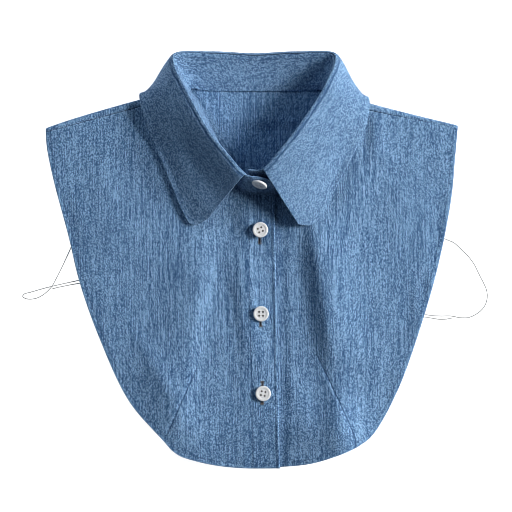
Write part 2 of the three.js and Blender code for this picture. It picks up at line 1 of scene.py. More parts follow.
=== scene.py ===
"""Detachable shirt collar: its cloth, stitching, buttons and elastic cords, and the table that it lies on.

Distances in the tables are millimetres, in the frame of the solids: X to the right, Y towards the neck, Z up.
"""
import math
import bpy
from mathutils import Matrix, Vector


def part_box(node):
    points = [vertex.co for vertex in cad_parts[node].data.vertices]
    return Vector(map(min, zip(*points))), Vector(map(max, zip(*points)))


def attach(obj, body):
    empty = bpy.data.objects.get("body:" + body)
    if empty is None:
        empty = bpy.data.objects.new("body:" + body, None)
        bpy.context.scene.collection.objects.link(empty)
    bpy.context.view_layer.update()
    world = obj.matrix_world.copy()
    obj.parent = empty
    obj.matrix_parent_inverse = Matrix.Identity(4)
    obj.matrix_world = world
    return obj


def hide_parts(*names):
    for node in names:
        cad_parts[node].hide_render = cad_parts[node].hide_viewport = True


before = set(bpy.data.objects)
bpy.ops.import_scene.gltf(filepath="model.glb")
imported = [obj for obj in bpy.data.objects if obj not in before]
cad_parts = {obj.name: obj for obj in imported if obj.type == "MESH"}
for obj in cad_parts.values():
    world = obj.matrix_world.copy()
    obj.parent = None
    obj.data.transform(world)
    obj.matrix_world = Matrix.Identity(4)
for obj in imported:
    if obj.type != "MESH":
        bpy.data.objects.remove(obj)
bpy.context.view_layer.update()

from types import SimpleNamespace

import bmesh
import bpy
import numpy as np
from bpy.props import FloatProperty, FloatVectorProperty, IntProperty, PointerProperty
from mathutils import Matrix, Vector, noise
from mathutils.bvhtree import BVHTree

bl_info = {
    "name": "Detachable collar",
    "version": (1, 0, 0),
    "blender": (4, 5, 0),
    "location": "3D View > Sidebar > Collar",
    "description": "Builds a chambray shirt collar with its bib, stitching, buttons and elastic cords",
    "category": "Object",
}

MM = 0.001

# Walls of the solids' panels and collar
PANEL_CLOTH = 1.2
COLLAR_CLOTH = 1.6

# How the front lies: its height over the table, and how it rises round the neck and calms at the shoulders
BIB_RISE = 4.4
NECK_RISE = 4.8
NECK_CENTRE = (2, 104)
NECK_RADIUS = (58, 52)
NECK_SPREAD = {"inner": 1.05, "left": 1.8, "right": 2.1}
SHOULDER_CALM = {"from": 95, "to": 134, "keep": 0.3}
# The placket is a raised strip, and the front beneath it dips where the collar's tabs lap
PLACKET = {"left": -2, "right": 21, "blend": 7, "rise": 1.0}
UNDERLAP = {"x_full": 23, "x_none": 33, "y_full": 60, "y_none": 75, "drop": 2.0}
# Folds fade towards the sides of the front and past their own ends
EDGE_CALM = {"full": 140, "none": 175, "slope": 0.45, "y_middle": -20}
FOLD_FADE = (-0.35, 0.25)

# The back makes room for the leaf that is folded beneath it, and lies a little inside the fronts
LEAF_ROOM = 2.2
LEAF_ROOM_AREA = {"y_from": 104, "y_to": 114, "x_from": 90, "x_to": 102}
BACK_INSET = 3
BACK_ROWS = {"gather": 1.7, "even": 0.004}

# The leaf: how it rolls over the stand, how its columns gather at the shoulders, and its rounded points
LEAF_FOLD = {"height": 1.7, "start_aside": -0.6, "shoulder_share": 0.9, "shoulder_aside": 2.4}
LEAF_GATHER = 0.55
LEAF_LENGTH = 430.0
LEAF_ROLL = 12
TIP_ROUND = {"along": 0.035, "across": (0.246, 0.211), "bluntness": (2.9, 1.4)}
# How far the soft leaf sinks onto the front, where, and the room that stays beneath it
LEAF_SETTLE = {"middle": 1.0, "rim": 1.8, "clearance": 1.1}
LEAF_SETTLE_AREA = {"y_none": 112, "y_full": 92, "rim_from": 0.6}

# Soft folds of the front: (x0, y0, x1, y1, half width to the left, half width to the right, height)
FRONT_FOLDS = [
    (52, 18, 66, -76, 11.5, 24, 7.8), (-43, 6, -55, -112, 21, 10.5, 3.6), (-82, -76, -52, -142, 17, 16, 3.2),
    (70, -102, 73, -150, 13, 16, 4.4), (58, -124, 66, -172, 42, 28, 6.5), (-7, 0, 2, -80, 12, 10, 2.4),
    (-19, 40, -16, 20, 12, 9, -1.6), (101, 116, 100, 84, 6, 12, 2.1), (144, -14, 136, -62, 7, 9, 1.8),
]
# Smaller creases that only the cloth has, in the same columns
CREASES = [
    (-95, -55, -62, -110, 6, 6, 0.7),
    (-150, 50, -140, 10, 6, 6, -0.6), (-142, 56, -134, 20, 6, 6, 0.5), (150, 60, 147, 10, 5, 5, -0.6),
    (112, -70, 104, -110, 6, 6, -0.6), (136, -10, 140, -42, 5, 5, -0.9), (134, -14, 126, -66, 4, 8, 0.8),
    (92, 110, 90, 90, 5, 5, -0.8), (66, 46, 58, 60, 6, 6, -0.6), (-33, 2, -43, -50, 5, 5, 0.7),
    (-20, -18, -16, -34, 4, 4, -0.5), (-5, -2, -2, -60, 3, 3, -0.45), (16, -6, 13, -30, 4, 4, -0.4),
    (-28, -90, -38, -150, 7, 7, 0.5), (0, -80, -3, -130, 5, 5, -0.35), (16, -116, 20, -122, 2, 2, 0.5),
    (-118, 95, -124, 60, 9, 9, 0.5), (120, 60, 116, 10, 9, 9, 0.5), (40, -100, 44, -140, 8, 6, 0.6),
    (30, -90, 36, -118, 4, 6, 0.5), (-26, -58, -14, -92, 5, 8, 0.6),
    (66, -118, 76, -160, 28, 12, 2.6), (79, 80, 58, 36, 8, 8, -1.4),
]

# Outlines of the fronts, upwards at the sides and from left to right at the hems
LEFT_SIDE = [(-64, -151), (-69.6, -144.4), (-97.6, -112.2), (-121.7, -61), (-137.4, -16.6), (-146.5, 21),
             (-158.3, 65.4), (-163.6, 91.5), (-164.4, 103.2)]
RIGHT_SIDE = [(84.5, -148.2), (96.3, -139.4), (117, -102.9), (138.6, -41.4), (151, 4.2), (160, 52.3),
              (162.4, 78.4), (164.8, 106.3)]
LEFT_HEM = [(-64, -151), (-57.4, -155.6), (-46.8, -159.2), (-30, -163), (-8, -165.3), (22.6, -165.4)]
RIGHT_HEM = [(-4, -164.8), (22, -164.3), (48, -161.4), (71.5, -154), (84.5, -148.2)]
PLACKET_EDGE = [(22.6, -165.4), (20.6, -60), (18.6, 38), (19, 53.6)]
UNDERLAP_EDGE = [(-4, -164.8), (-5, -60), (-5.6, 38), (-5, 58.6)]
# Folded edges of the shoulders, and the seams on the front that their strips reach
LEFT_SHOULDER = [(-164.4, 106.6), (-143.8, 113.7), (-92, 128.6), (-51.5, 138)]
RIGHT_SHOULDER = [(164.8, 108.9), (134.2, 116.3), (94, 126.6), (60.5, 136.4)]
LEFT_SEAM = [(-164.4, 103.2), (-46.8, 134.6)]
RIGHT_SEAM = [(164.8, 106.3), (56.6, 127.8)]
# Where the back ends at the neck, and how far a shoulder strip stays from its seam
BACK_NECK = {"y": 138, "ends": 8}
STRIP_END_GAP = 0.1
# Lowest underside of the fronts, their rows for each column, and the calm stretch beside the neck
FRONT_FLOOR = {"front_left": 1.6, "front_right": 1.5}
FRONT_ROWS = 1.55
NECK_CALM = 14

# Sections round the neck: (seam, top, bend, tuck, edge), from the tab with the buttonhole to the tab beneath
SECTIONS = [
    ((19, 54.6, 11), (18.4, 63, 26.4), None, None, None),
    ((6, 54.2, 11.2), (6.6, 66.4, 29.4), None, None, None),
    ((-9.6, 59, 11.2), (-4.8, 68.6, 31), (-22.6, 48.6, 20), None, (-44.8, 20.6, 7)),
    ((-19.6, 81.6, 10.6), (-18, 83.6, 32.4), (-37, 68, 19.4), None, (-56.4, 42, 9)),
    ((-30.8, 103.6, 9.8), (-32.6, 102, 32.2), (-51.5, 91, 20.4), None, (-69.6, 74.6, 10)),
    ((-44.4, 130.4, 8.2), (-48.6, 130, 28.6), (-66.4, 118.4, 21.6), None, (-83, 106.6, 10.6)),
    ((-48.6, 135.4, 7.8), (-55, 142.4, 25.4), (-72, 131.8, 19.6), None, (-88.2, 124, 10.6)),
    ((-49.4, 138.6, 7.2), (-58.4, 149, 22.6), (-72.4, 140.6, 16.4), (-83.2, 135, 8.8), (-89, 133.6, 3.8)),
    ((-47.4, 139.6, 6), (-60.6, 155.2, 19.6), (-75, 145.4, 7.8), (-81.4, 137, 1.5), (-84.8, 129.4, 0.9)),
    ((-42, 139.2, 4.9), (-60.2, 163.6, 15.2), (-67, 156.6, 6), (-67, 140, 1), (-67.6, 120.6, 0.9)),
    ((-22, 138.4, 4.6), (-31, 165, 10.6), (-30.4, 157.6, 3), (-29, 140, 0.9), (-28, 119.4, 0.9)),
    ((2, 138.2, 4.6), (2, 163.4, 8.6), (2, 156, 2.6), (2, 139, 0.9), (2, 118.8, 0.9)),
    ((27, 138.4, 4.6), (35, 164.8, 12), (34.4, 157.4, 3), (33, 140, 0.9), (32, 119.4, 0.9)),
    ((50, 139, 4.9), (65.2, 163.4, 18.4), (72, 156, 6.2), (72, 140, 1), (72.6, 120.4, 0.9)),
    ((56.4, 138.6, 6), (65, 153.4, 23.2), (79.8, 143.8, 8.2), (86.2, 135, 1.5), (89.2, 125.6, 0.9)),
    ((58.8, 136, 7.2), (61.6, 145.6, 26.2), (76.4, 137.8, 16.8), (87.6, 132.4, 9), (93.4, 130.8, 4.2)),
    ((59, 131.6, 7.8), (58, 137.4, 28.4), (76.8, 128.2, 19.6), None, (93.8, 121.2, 10.2)),
    ((55.6, 124.4, 8.4), (52, 127.6, 29.4), (72.6, 116, 21.6), None, (89.6, 103.6, 12)),
    ((41.6, 102.6, 9.8), (37.4, 106, 32.4), (58.6, 90.6, 23.6), None, (75.4, 74.6, 9.6)),
    ((28.6, 83.4, 10.6), (23.6, 88.4, 32.8), (42.6, 67.6, 25), None, (59.4, 43.4, 11.4)),
    ((14.4, 64.4, 9.4), (9.2, 72.8, 31.4), (24.2, 49, 27.2), None, (46.4, 14.9, 10.4)),
    ((-3.4, 61.4, 8.6), (-2.8, 72.4, 29.2), None, None, None),
]
LEAF_FIRST, LEAF_LAST = 2, 20

# The stand: its height and the length of its seam, where its cloth starts and how far it reaches (shares of
# the height), its stitch lines, and how far it bows once past the front tab
STAND = {"height": 27.0, "length": 390.0, "rows": 44, "reach": 1.125, "start": -0.1, "low_line": 1.7,
         "top_line": 23.8, "bow": 0.9, "bow_from": 30}

# Width and length of the stretches of yarn, how the yarns wander, and how much each kind shades the dye
YARNS = {"slub": (0.72, 5.5), "long_slub": (0.8, 24.0), "speck": (0.64, 0.72)}
YARN_WANDER = {"grain": (6.0, 30.0), "reach": 2.2}
YARN_SHADE = {"slub": 0.22, "long_slub": 0.48, "speck": 1.12}
# Soft blotches of the dye: (size across, size along the warp, detail, roughness, weight)
BLOTCHES = [(1.9, 2.4, 1.0, 0.6, 0.1), (11.0, 17.0, 3.0, 0.6, 0.08), (55.0, 70.0, 1.0, 0.5, 0.12)]
# Distances that a piece of cloth knows: to its rim, and with a sign to its stitch lines, seams and darts
SEAM_LINES = ("rim", "hem", "line_a", "line_b", "join_and_shade", "dart")
FAR = 99.0
# Seam lines in the colour: (line, middle, width, weight), dark in the groove and worn pale beside it; the
# dark line of the join is painted shade where the collar and the shoulder strips meet the front and along the
# leaf's crease
DARK_SEAMS = [("hem", 0.0, 0.5, 0.5), ("line_a", 0.0, 0.45, 0.45), ("line_b", 0.0, 0.5, 0.6),
              ("join_and_shade", 0.0, 0.8, 1.5), ("dart", 0.0, 0.5, 1.3)]
WORN_SEAMS = [("rim", 0.4, 0.7, 0.35), ("join_and_shade", 1.5, 0.6, 0.5), ("dart", -1.0, 0.5, 0.3)]
SEAM_SHADE = {"dark": -0.42, "worn": 0.24}
SHADE_STOPS = (0.12, 0.5, 0.92)
# Relief of the weave, its slubs and the sunk stitch lines
WEAVE = {"step": 0.62, "height": 0.06, "slub": 0.12, "speck": 0.05, "groove": -1.6, "strength": 0.55,
         "depth": 0.22}

# A button: the heights of its rim and its dish, and its holes, as far aside as up or down from its middle
BUTTON = {"radius": 6.2, "rim": 2.1, "rim_soft": 0.8, "rim_width": 1.3, "dish": 1.75, "dish_radius": 3.6,
          "hole": 0.78, "spacing": 1.55, "sides": 56}
DRILL = {"middle": 1.2, "depth": 6, "sides": 20}
# The thread in a hole (its share of the hole's radius, and its top), near-black so that it paints the shade
# inside the hole, and the thread shank beneath the button
HOLE_SHADE_THREAD = {"share": 0.99, "top": 0.75, "sides": 12}
SHANK = {"turns": 5, "points": 70, "radius": 1.5, "uneven": 0.1, "heights": (-1.6, 0.6), "stitch": 1.1,
         "overlap": 0.2, "width": 0.5}
# Where the buttons are: (x, y, turn in degrees) down the placket, and the one on the stand
PLACKET_BUTTONS = [(7, 25.1, 23), (7.6, -41.9, 0), (9.3, -105.6, -12)]
NECK_BUTTON = {"station": 0.92, "height": 0.82, "turns": (66, -18, 8), "stand": 1.7}

# Buttonholes of the placket: (x, lower y, upper y), with their rows of twist, their end bars and a near-black
# row in their slit that paints its shade
BUTTONHOLES = [(6.6, 14.6, 27), (7.4, -51.6, -39), (8.6, -113.6, -96.4)]
BUTTONHOLE = {"row": 0.85, "reach": 0.9, "twist": 0.26, "gap": 0.22}
BUTTONHOLE_BAR = {"half": 1.5, "past": 0.3, "reach": 1.5, "gap": 0.12}
BUTTONHOLE_SLIT_SHADE = {"stitch": 2.0, "overlap": 0.3, "width": 0.7}

# Relief of the worked cloth. Wrinkles: (grain across, grain along, share, shift of the seed)
WRINKLES = [(26, 48, 1.0, 0), (13, 24, 0.2, 5)]
# Puckers beside a stitch line: (share, stretch, grain along it, grain away from it, shift of the seed)
PUCKERS = [(1.0, 0.35, 3.4, 6.0, 0), (0.6, 0.3, 7.5, 8.0, 3)]
PUCKER_REACH = {"hem": 9.0, "back_hem": 6.0, "placket_left": 6.0, "placket_edge": 4.0, "stand": 5.0}
# Waves of the interlined collar: (grain along, grain across, height, seed)
LEAF_WAVES = [(34, 22, 0.4, 120.0), (9, 13, 0.14, 124.0)]
STAND_WAVES = [(21, 17, 0.35, 90.0), (6, 14, 0.16, 93.0)]
# Waves and dents round the buttons, and the ridges of the placket's and the leaf's folded edges
BUTTON_WAVES = {"height": 0.3, "radius": 8, "width": 4.5, "count": 5}
BUTTON_PRESS = {"depth": 0.5, "radius": 7}
PLACKET_RIDGE = {"height": 0.35, "inset": 0.8, "width": 1.1}
LEAF_RIDGE = {"height": 0.13, "from": 3.0, "width": 3.4}

# A height above every piece
ABOVE_ALL = 60

# Rims of cloth walls are round, and never thinner than a share of the wall
RIM = {"soft": 0.1, "least": 0.22}
# How far from a rim the lines of a grid are that gather there
RIM_LADDER = np.array([0, 0.09, 0.26, 0.5, 0.85, 1.4, 2.1, 2.8, 3.3, 3.7, 4.2, 4.8, 5.4, 6.2, 7.4])
# The reverse of a cloth shows other yarns than its face
REVERSE_SHIFT = (31.7, 12.3, 0)

# One stitch: (place along it, share of its girth, rise) of its rings, and how unlike the stitches are
STITCH_RINGS = [(-0.5, 0.25, -0.35), (-0.4, 0.8, -0.05), (-0.15, 1.0, 0.12), (0.15, 1.0, 0.12),
                (0.4, 0.8, -0.05), (0.5, 0.25, -0.35)]
STITCH_UNEVEN = {"sway": 0.06, "length": (0.93, 1.05)}

# Hems, stitch lines and darts; the right hem shows only past the placket
HEM_DEPTH = 5.2
HEM_STITCH = 3.6
LEAF_CREASE = 3.3
EDGE_STITCH = 6.0
PLACKET_STITCH_LEFT = [(-2.6, 44), (-2.2, 17), (-0.9, -60), (0.1, -107), (1.2, -163.4)]
PLACKET_STITCH_RIGHT_INSET = 2.6
SHOULDER_STITCH = 1.3
HEM_SHOWS_FROM = 24
DART = {"bulge": 0.2, "bulge_aside": 2.2, "groove": 0.4, "groove_width": 1.2}
LEFT_DART = [(-41.8, -80.6), (-54, -108), (-68, -139.4)]
RIGHT_DART = [(51.9, -74.2), (67, -106), (82, -140.7), (83, -147.6)]

# Elastic cords and their routes, whose ends lie between the fronts and the back
CORD_RADIUS = 0.4
FLOOR_Z = 0.42
CORD_ROUTES = {
    "cord_left": [
        (-143.1, 14.4, 0.6), (-145.1, 9.4, FLOOR_Z), (-147.8, 3.5, FLOOR_Z), (-150.5, -2.6, FLOOR_Z),
        (-153.4, -8.6, FLOOR_Z), (-156.3, -14.2, FLOOR_Z), (-159.3, -19.6, FLOOR_Z),
        (-162.9, -23.8, FLOOR_Z), (-167.2, -27.2, FLOOR_Z), (-171.7, -29.4, FLOOR_Z),
        (-176.2, -30.2, FLOOR_Z), (-180.4, -29.8, FLOOR_Z), (-182.9, -28.1, FLOOR_Z),
        (-181.6, -26.1, FLOOR_Z), (-177.4, -24.9, FLOOR_Z), (-171.2, -23.1, 0.6),
        (-165.4, -21.5, 1.15), (-160, -20.1, 1.5), (-154.4, -18.8, 1.15), (-148.6, -17.5, 0.6),
        (-142.7, -16.2, 0.7), (-137, -15, 1.5), (-129.6, -13.6, 2.2)],
    "cord_right": [
        (152.8, 19.1, 0.6), (156.3, 17.4, FLOOR_Z), (162, 14.9, FLOOR_Z), (168.5, 9, FLOOR_Z),
        (174.2, 3.2, FLOOR_Z), (178.6, -3, FLOOR_Z), (182.1, -10.2, FLOOR_Z), (185.9, -17.6, FLOOR_Z),
        (188.2, -23.2, FLOOR_Z), (188.7, -29, FLOOR_Z), (187, -35, FLOOR_Z), (183.4, -39.6, FLOOR_Z),
        (178.9, -42.8, FLOOR_Z), (173.8, -44.9, FLOOR_Z), (167, -45, FLOOR_Z), (159.7, -43.7, FLOOR_Z),
        (151.4, -43.7, FLOOR_Z), (144.2, -43.3, 0.6), (137.6, -42.2, 1.5), (129.8, -40.4, 2.2)],
    "cord_tail_left": [
        (-130.4, -16.6, 2.2), (-137.4, -17.6, 1.5), (-143.2, -18.5, FLOOR_Z), (-149.2, -19.7, FLOOR_Z),
        (-155, -20.9, FLOOR_Z), (-159.9, -22.3, FLOOR_Z)],
    "cord_tail_right": [
        (129.2, -43.3, 2.2), (136.6, -44.2, 1.5), (143.2, -45.2, FLOOR_Z), (150.2, -46.3, FLOOR_Z),
        (155.8, -46.2, FLOOR_Z), (160.2, -45.4, FLOOR_Z)],
}

# Lights: (name, azimuth, elevation, distance, size, power, colour); azimuth 0 is +X and 90 is +Y
LIGHTS = [("key_light", 11, 29, 2.6, 0.9, 93, (1, 1, 1)),
          ("fill_light", 130, 32, 2.6, 1.6, 15, (0.82, 0.95, 1.12))]
SKY = {"colour": (0.75, 0.93, 1.15, 1), "strength": 0.045}
TABLE = {"half_size": 3.0, "below": 0.0002, "glow": 0.96}

# The camera looks straight down through a long lens
CAMERA = {"x": 3.6, "y": 4.24, "width": 409.6, "lens": 290, "sensor": 36}


# Settings

class ClothSettings(bpy.types.PropertyGroup):
    """Sizes of the cloth and its stitching"""
    panel: FloatProperty(name="Panel cloth", description="Thickness of a bib panel",
                         default=0.9 * MM, min=0.3 * MM, max=1.2 * MM, precision=5, subtype="DISTANCE")
    hem: FloatProperty(name="Hem", description="How much thicker the turned hem is",
                       default=0.35 * MM, min=0, max=1 * MM, precision=5, subtype="DISTANCE")
    collar: FloatProperty(name="Collar cloth", description="Thickness of the stand and the leaf",
                          default=1.5 * MM, min=0.6 * MM, max=1.6 * MM, precision=5, subtype="DISTANCE")
    stitch: FloatProperty(name="Stitch", description="Length of one stitch",
                          default=2.1 * MM, min=0.5 * MM, max=5 * MM, precision=5, subtype="DISTANCE")
    stitch_gap: FloatProperty(name="Stitch gap", description="Space between two stitches",
                              default=0.5 * MM, min=0.1 * MM, max=3 * MM, precision=5, subtype="DISTANCE")
    pucker: FloatProperty(name="Pucker", description="Height of the puckers along the seams",
                          default=0.32 * MM, min=0, max=1 * MM, precision=5, subtype="DISTANCE")
    wrinkle: FloatProperty(name="Wrinkle", description="Height of the soft wrinkles",
                           default=0.6 * MM, min=0, max=2 * MM, precision=5, subtype="DISTANCE")
    detail: IntProperty(name="Detail", description="Columns across a front; every other grid follows it",
                        default=150, min=20, max=190)


class ColourSettings(bpy.types.PropertyGroup):
    """Colours of the cloth, the trimmings and the table"""
    dark: FloatVectorProperty(name="Dark warp", description="Unfaded indigo thread", subtype="COLOR",
                              default=(0.032, 0.090, 0.212), min=0, max=1)
    middle: FloatVectorProperty(name="Warp", description="Average colour of the chambray", subtype="COLOR",
                                default=(0.120, 0.250, 0.436), min=0, max=1)
    light: FloatVectorProperty(name="Light warp", description="Washed-out slubs", subtype="COLOR",
                               default=(0.325, 0.530, 0.780), min=0, max=1)
    thread: FloatVectorProperty(name="Sewing thread", description="Tonal sewing thread", subtype="COLOR",
                                default=(0.060, 0.130, 0.260), min=0, max=1)
    buttonhole: FloatVectorProperty(name="Buttonhole thread", description="Grey-beige buttonhole twist",
                                    subtype="COLOR", default=(0.15, 0.13, 0.12), min=0, max=1)
    button: FloatVectorProperty(name="Button", description="Pearly white of the buttons", subtype="COLOR",
                                default=(0.90, 0.89, 0.88), min=0, max=1)
    elastic: FloatVectorProperty(name="Elastic", description="Clear to white elastic", subtype="COLOR",
                                 default=(0.56, 0.56, 0.55), min=0, max=1)
    table: FloatVectorProperty(name="Table", description="Plain pale floor", subtype="COLOR",
                               default=(0.50, 0.50, 0.50), min=0, max=1)


def cloth_sizes(context):
    """The cloth's settings, with every length in millimetres"""
    chosen = context.scene.collar_cloth
    keys = ("panel", "hem", "collar", "stitch", "stitch_gap", "pucker", "wrinkle")
    return SimpleNamespace(detail=chosen.detail, **{key: getattr(chosen, key) / MM for key in keys})


# Curves and heights

def rise(value, start, end):
    """Smooth step from 0 at start to 1 at end"""
    share = np.clip((np.asarray(value, float) - start) / (end - start), 0, 1)
    return share * share * (3 - 2 * share)


def curve_at(points, t):
    """Points of the centripetal curve through the given ones; t runs evenly from point to point"""
    p = np.asarray(points, float)
    t = np.atleast_1d(np.asarray(t, float))
    padded = np.vstack([2 * p[0] - p[1], p, 2 * p[-1] - p[-2]])
    place = np.clip(t, 0, 1) * (len(p) - 1)
    k = np.minimum(place.astype(int), len(p) - 2)
    w = (place - k)[:, None]
    p0, p1, p2, p3 = (padded[k + i] for i in range(4))

    def step(a, b):
        return np.maximum(((a - b) ** 2).sum(1) ** 0.25, 1e-4)[:, None]

    d0, d1, d2 = step(p0, p1), step(p1, p2), step(p2, p3)
    m1 = ((p1 - p0) / d0 - (p2 - p0) / (d0 + d1) + (p2 - p1) / d1) * d1
    m2 = ((p2 - p1) / d1 - (p3 - p1) / (d1 + d2) + (p3 - p2) / d2) * d1
    return p1 + m1 * w + (3 * (p2 - p1) - 2 * m1 - m2) * w ** 2 + (2 * (p1 - p2) + m1 + m2) * w ** 3


def dense(points, steps=30):
    """The curve through the points as a fine line"""
    return curve_at(points, np.linspace(0, 1, steps * (len(points) - 1) + 1))


def joined(*lines):
    """Several lines as one, each starting where the one before it ends"""
    return np.vstack([lines[0], *[line[1:] for line in lines[1:]]])


def lengths(line):
    """Length along a line at each of its points"""
    return np.concatenate([[0], np.cumsum(np.linalg.norm(np.diff(line, axis=0), axis=1))])


def along(line, share):
    """Points at the given shares of a line's length; share may have any shape"""
    reach = lengths(line)
    share = np.asarray(share, float)
    flat = share.ravel() * reach[-1]
    found = np.stack([np.interp(flat, reach, line[:, c]) for c in range(line.shape[1])], 1)
    return found.reshape(*share.shape, line.shape[1])


def inset(line, distance):
    """A line moved sideways: to its left where distance is positive"""
    run = np.gradient(line, axis=0)
    run /= np.linalg.norm(run, axis=1)[:, None]
    return line + distance * np.stack([-run[:, 1], run[:, 0]], 1)


def nearest(line, x, y):
    """Distance of points to a line, and the length along the line of the nearest place"""
    shape = np.shape(x)
    px, py = np.ravel(x), np.ravel(y)
    best = np.full(px.shape, 1e9)
    where = np.zeros(px.shape)
    reach = lengths(line)
    for (a, b, start) in zip(line[:-1], line[1:], reach):
        run = b - a
        size = float(np.hypot(*run)) or 1e-9
        share = np.clip(((px - a[0]) * run[0] + (py - a[1]) * run[1]) / size ** 2, 0, 1)
        away = np.hypot(px - a[0] - share * run[0], py - a[1] - share * run[1])
        closer = away < best
        best[closer] = away[closer]
        where[closer] = (start + share * size)[closer]
    return best.reshape(shape), where.reshape(shape)


def fold_height(fold, x, y):
    """Height of one soft fold: a smooth ridge that fades at its ends"""
    x0, y0, x1, y1, left, right, height = fold
    dx, dy = x1 - x0, y1 - y0
    size = math.hypot(dx, dy)
    run = ((x - x0) * dx + (y - y0) * dy) / size
    aside = ((x - x0) * dy - (y - y0) * dx) / size
    before, after = FOLD_FADE
    fade = rise(run, before * size, after * size) * rise(run, (1 - before) * size, (1 - after) * size)
    return height * fade * np.exp(-((aside / np.where(aside > 0, left, right)) ** 2))


def front_top(x, y):
    """Top of the front above the table, as the solids have it"""
    x, y = np.asarray(x, float), np.asarray(y, float)
    reach = np.hypot((x - NECK_CENTRE[0]) / NECK_RADIUS[0], (y - NECK_CENTRE[1]) / NECK_RADIUS[1])
    calm = 1 + (SHOULDER_CALM["keep"] - 1) * rise(y, SHOULDER_CALM["from"], SHOULDER_CALM["to"])
    to_right = rise(x, NECK_CENTRE[0] - NECK_RADIUS[0], NECK_CENTRE[0] + NECK_RADIUS[0])
    outer = NECK_SPREAD["left"] + (NECK_SPREAD["right"] - NECK_SPREAD["left"]) * to_right
    neck = NECK_RISE * calm * rise(reach, outer, NECK_SPREAD["inner"])
    blend = 2 * PLACKET["blend"]
    placket = (PLACKET["rise"] * rise(x, PLACKET["left"] - blend, PLACKET["left"])
               * rise(x, PLACKET["right"] + blend, PLACKET["right"]))
    folds = sum(fold_height(fold, x, y) for fold in FRONT_FOLDS)
    side = rise(np.abs(x) + EDGE_CALM["slope"] * np.abs(y - EDGE_CALM["y_middle"]), EDGE_CALM["none"],
                EDGE_CALM["full"])
    return BIB_RISE + neck + placket + folds * side


def back_underside(x, y):
    """Underside of the back panel, lifted over the leaf that is folded beneath it"""
    area = LEAF_ROOM_AREA
    return (LEAF_ROOM * rise(y, area["y_from"], area["y_to"])
            * rise(np.abs(np.asarray(x) - NECK_CENTRE[0]), area["x_to"], area["x_from"]))


def noise_at(x, y, size_x, size_y, seed):
    """Smooth noise from -1 to 1 with the given grain, in millimetres"""
    shape = np.shape(x)
    flat = [noise.noise(Vector((a, b, seed))) for a, b in
            zip(np.ravel(x) / size_x, np.ravel(y) / size_y)]
    return np.array(flat).reshape(shape)


def section_line(column):
    """One column of the sections as a list of points; where there is no tuck, the middle of bend and edge"""
    found = []
    for row in SECTIONS:
        seam, top, bend, tuck, edge = row
        value = {"seam": seam, "top": top, "bend": bend, "tuck": tuck, "edge": edge}[column]
        if value is None and column == "tuck" and bend:
            value = tuple((a + b) / 2 for a, b in zip(bend, edge))
        if value is not None:
            found.append(value)
    return found


# Cloth walls

def ladder(length, count):
    """Shares of a length for count lines, gathered at both ends; length may be an array"""
    length = np.asarray(length, float)
    rim = RIM_LADDER[(...,) + (None,) * length.ndim] / length
    middle = count - 2 * len(RIM_LADDER)
    share = (np.arange(1, middle + 1) / (middle + 1))[(...,) + (None,) * length.ndim]
    inner = rim[-1] + share * (1 - 2 * rim[-1])
    return np.concatenate([rim, inner, 1 - rim[::-1]])


def rim_distance(middle):
    """Distance to the nearest rim of a grid, measured along its lines"""
    def both_ways(axis):
        step = np.linalg.norm(np.diff(middle, axis=axis), axis=2)
        zero = np.zeros_like(np.take(step, [0], axis))
        run = np.concatenate([zero, np.cumsum(step, axis)], axis)
        return np.minimum(run, np.take(run, [-1], axis) - run)
    return np.minimum(both_ways(0), both_ways(1))


def rounded(distance, thickness):
    """Thickness near a rim, so that the rim is round"""
    radius = thickness / 2 + RIM["soft"]
    inward = np.clip(1 - distance / radius, 0, 1)
    return thickness * np.maximum(np.sqrt(1 - inward ** 2), RIM["least"])


def grid_normals(middle):
    """Unit normals of a grid of points"""
    across = np.gradient(middle, axis=0)
    up = np.gradient(middle, axis=1)
    normal = np.cross(across, up)
    size = np.linalg.norm(normal, axis=2)[..., None]
    return normal / np.maximum(size, 1e-12)


def new_piece(name, points, faces, material):
    """A piece from points in millimetres, riding on the one body"""
    mesh = bpy.data.meshes.new(name)
    mesh.from_pydata((np.asarray(points) * MM).tolist(), [], faces)
    mesh.polygons.foreach_set("use_smooth", [True] * len(mesh.polygons))
    mesh.update()
    piece = bpy.data.objects.new(name, mesh)
    bpy.context.scene.collection.objects.link(piece)
    mesh.materials.append(material)
    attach(piece, "root")
    return piece


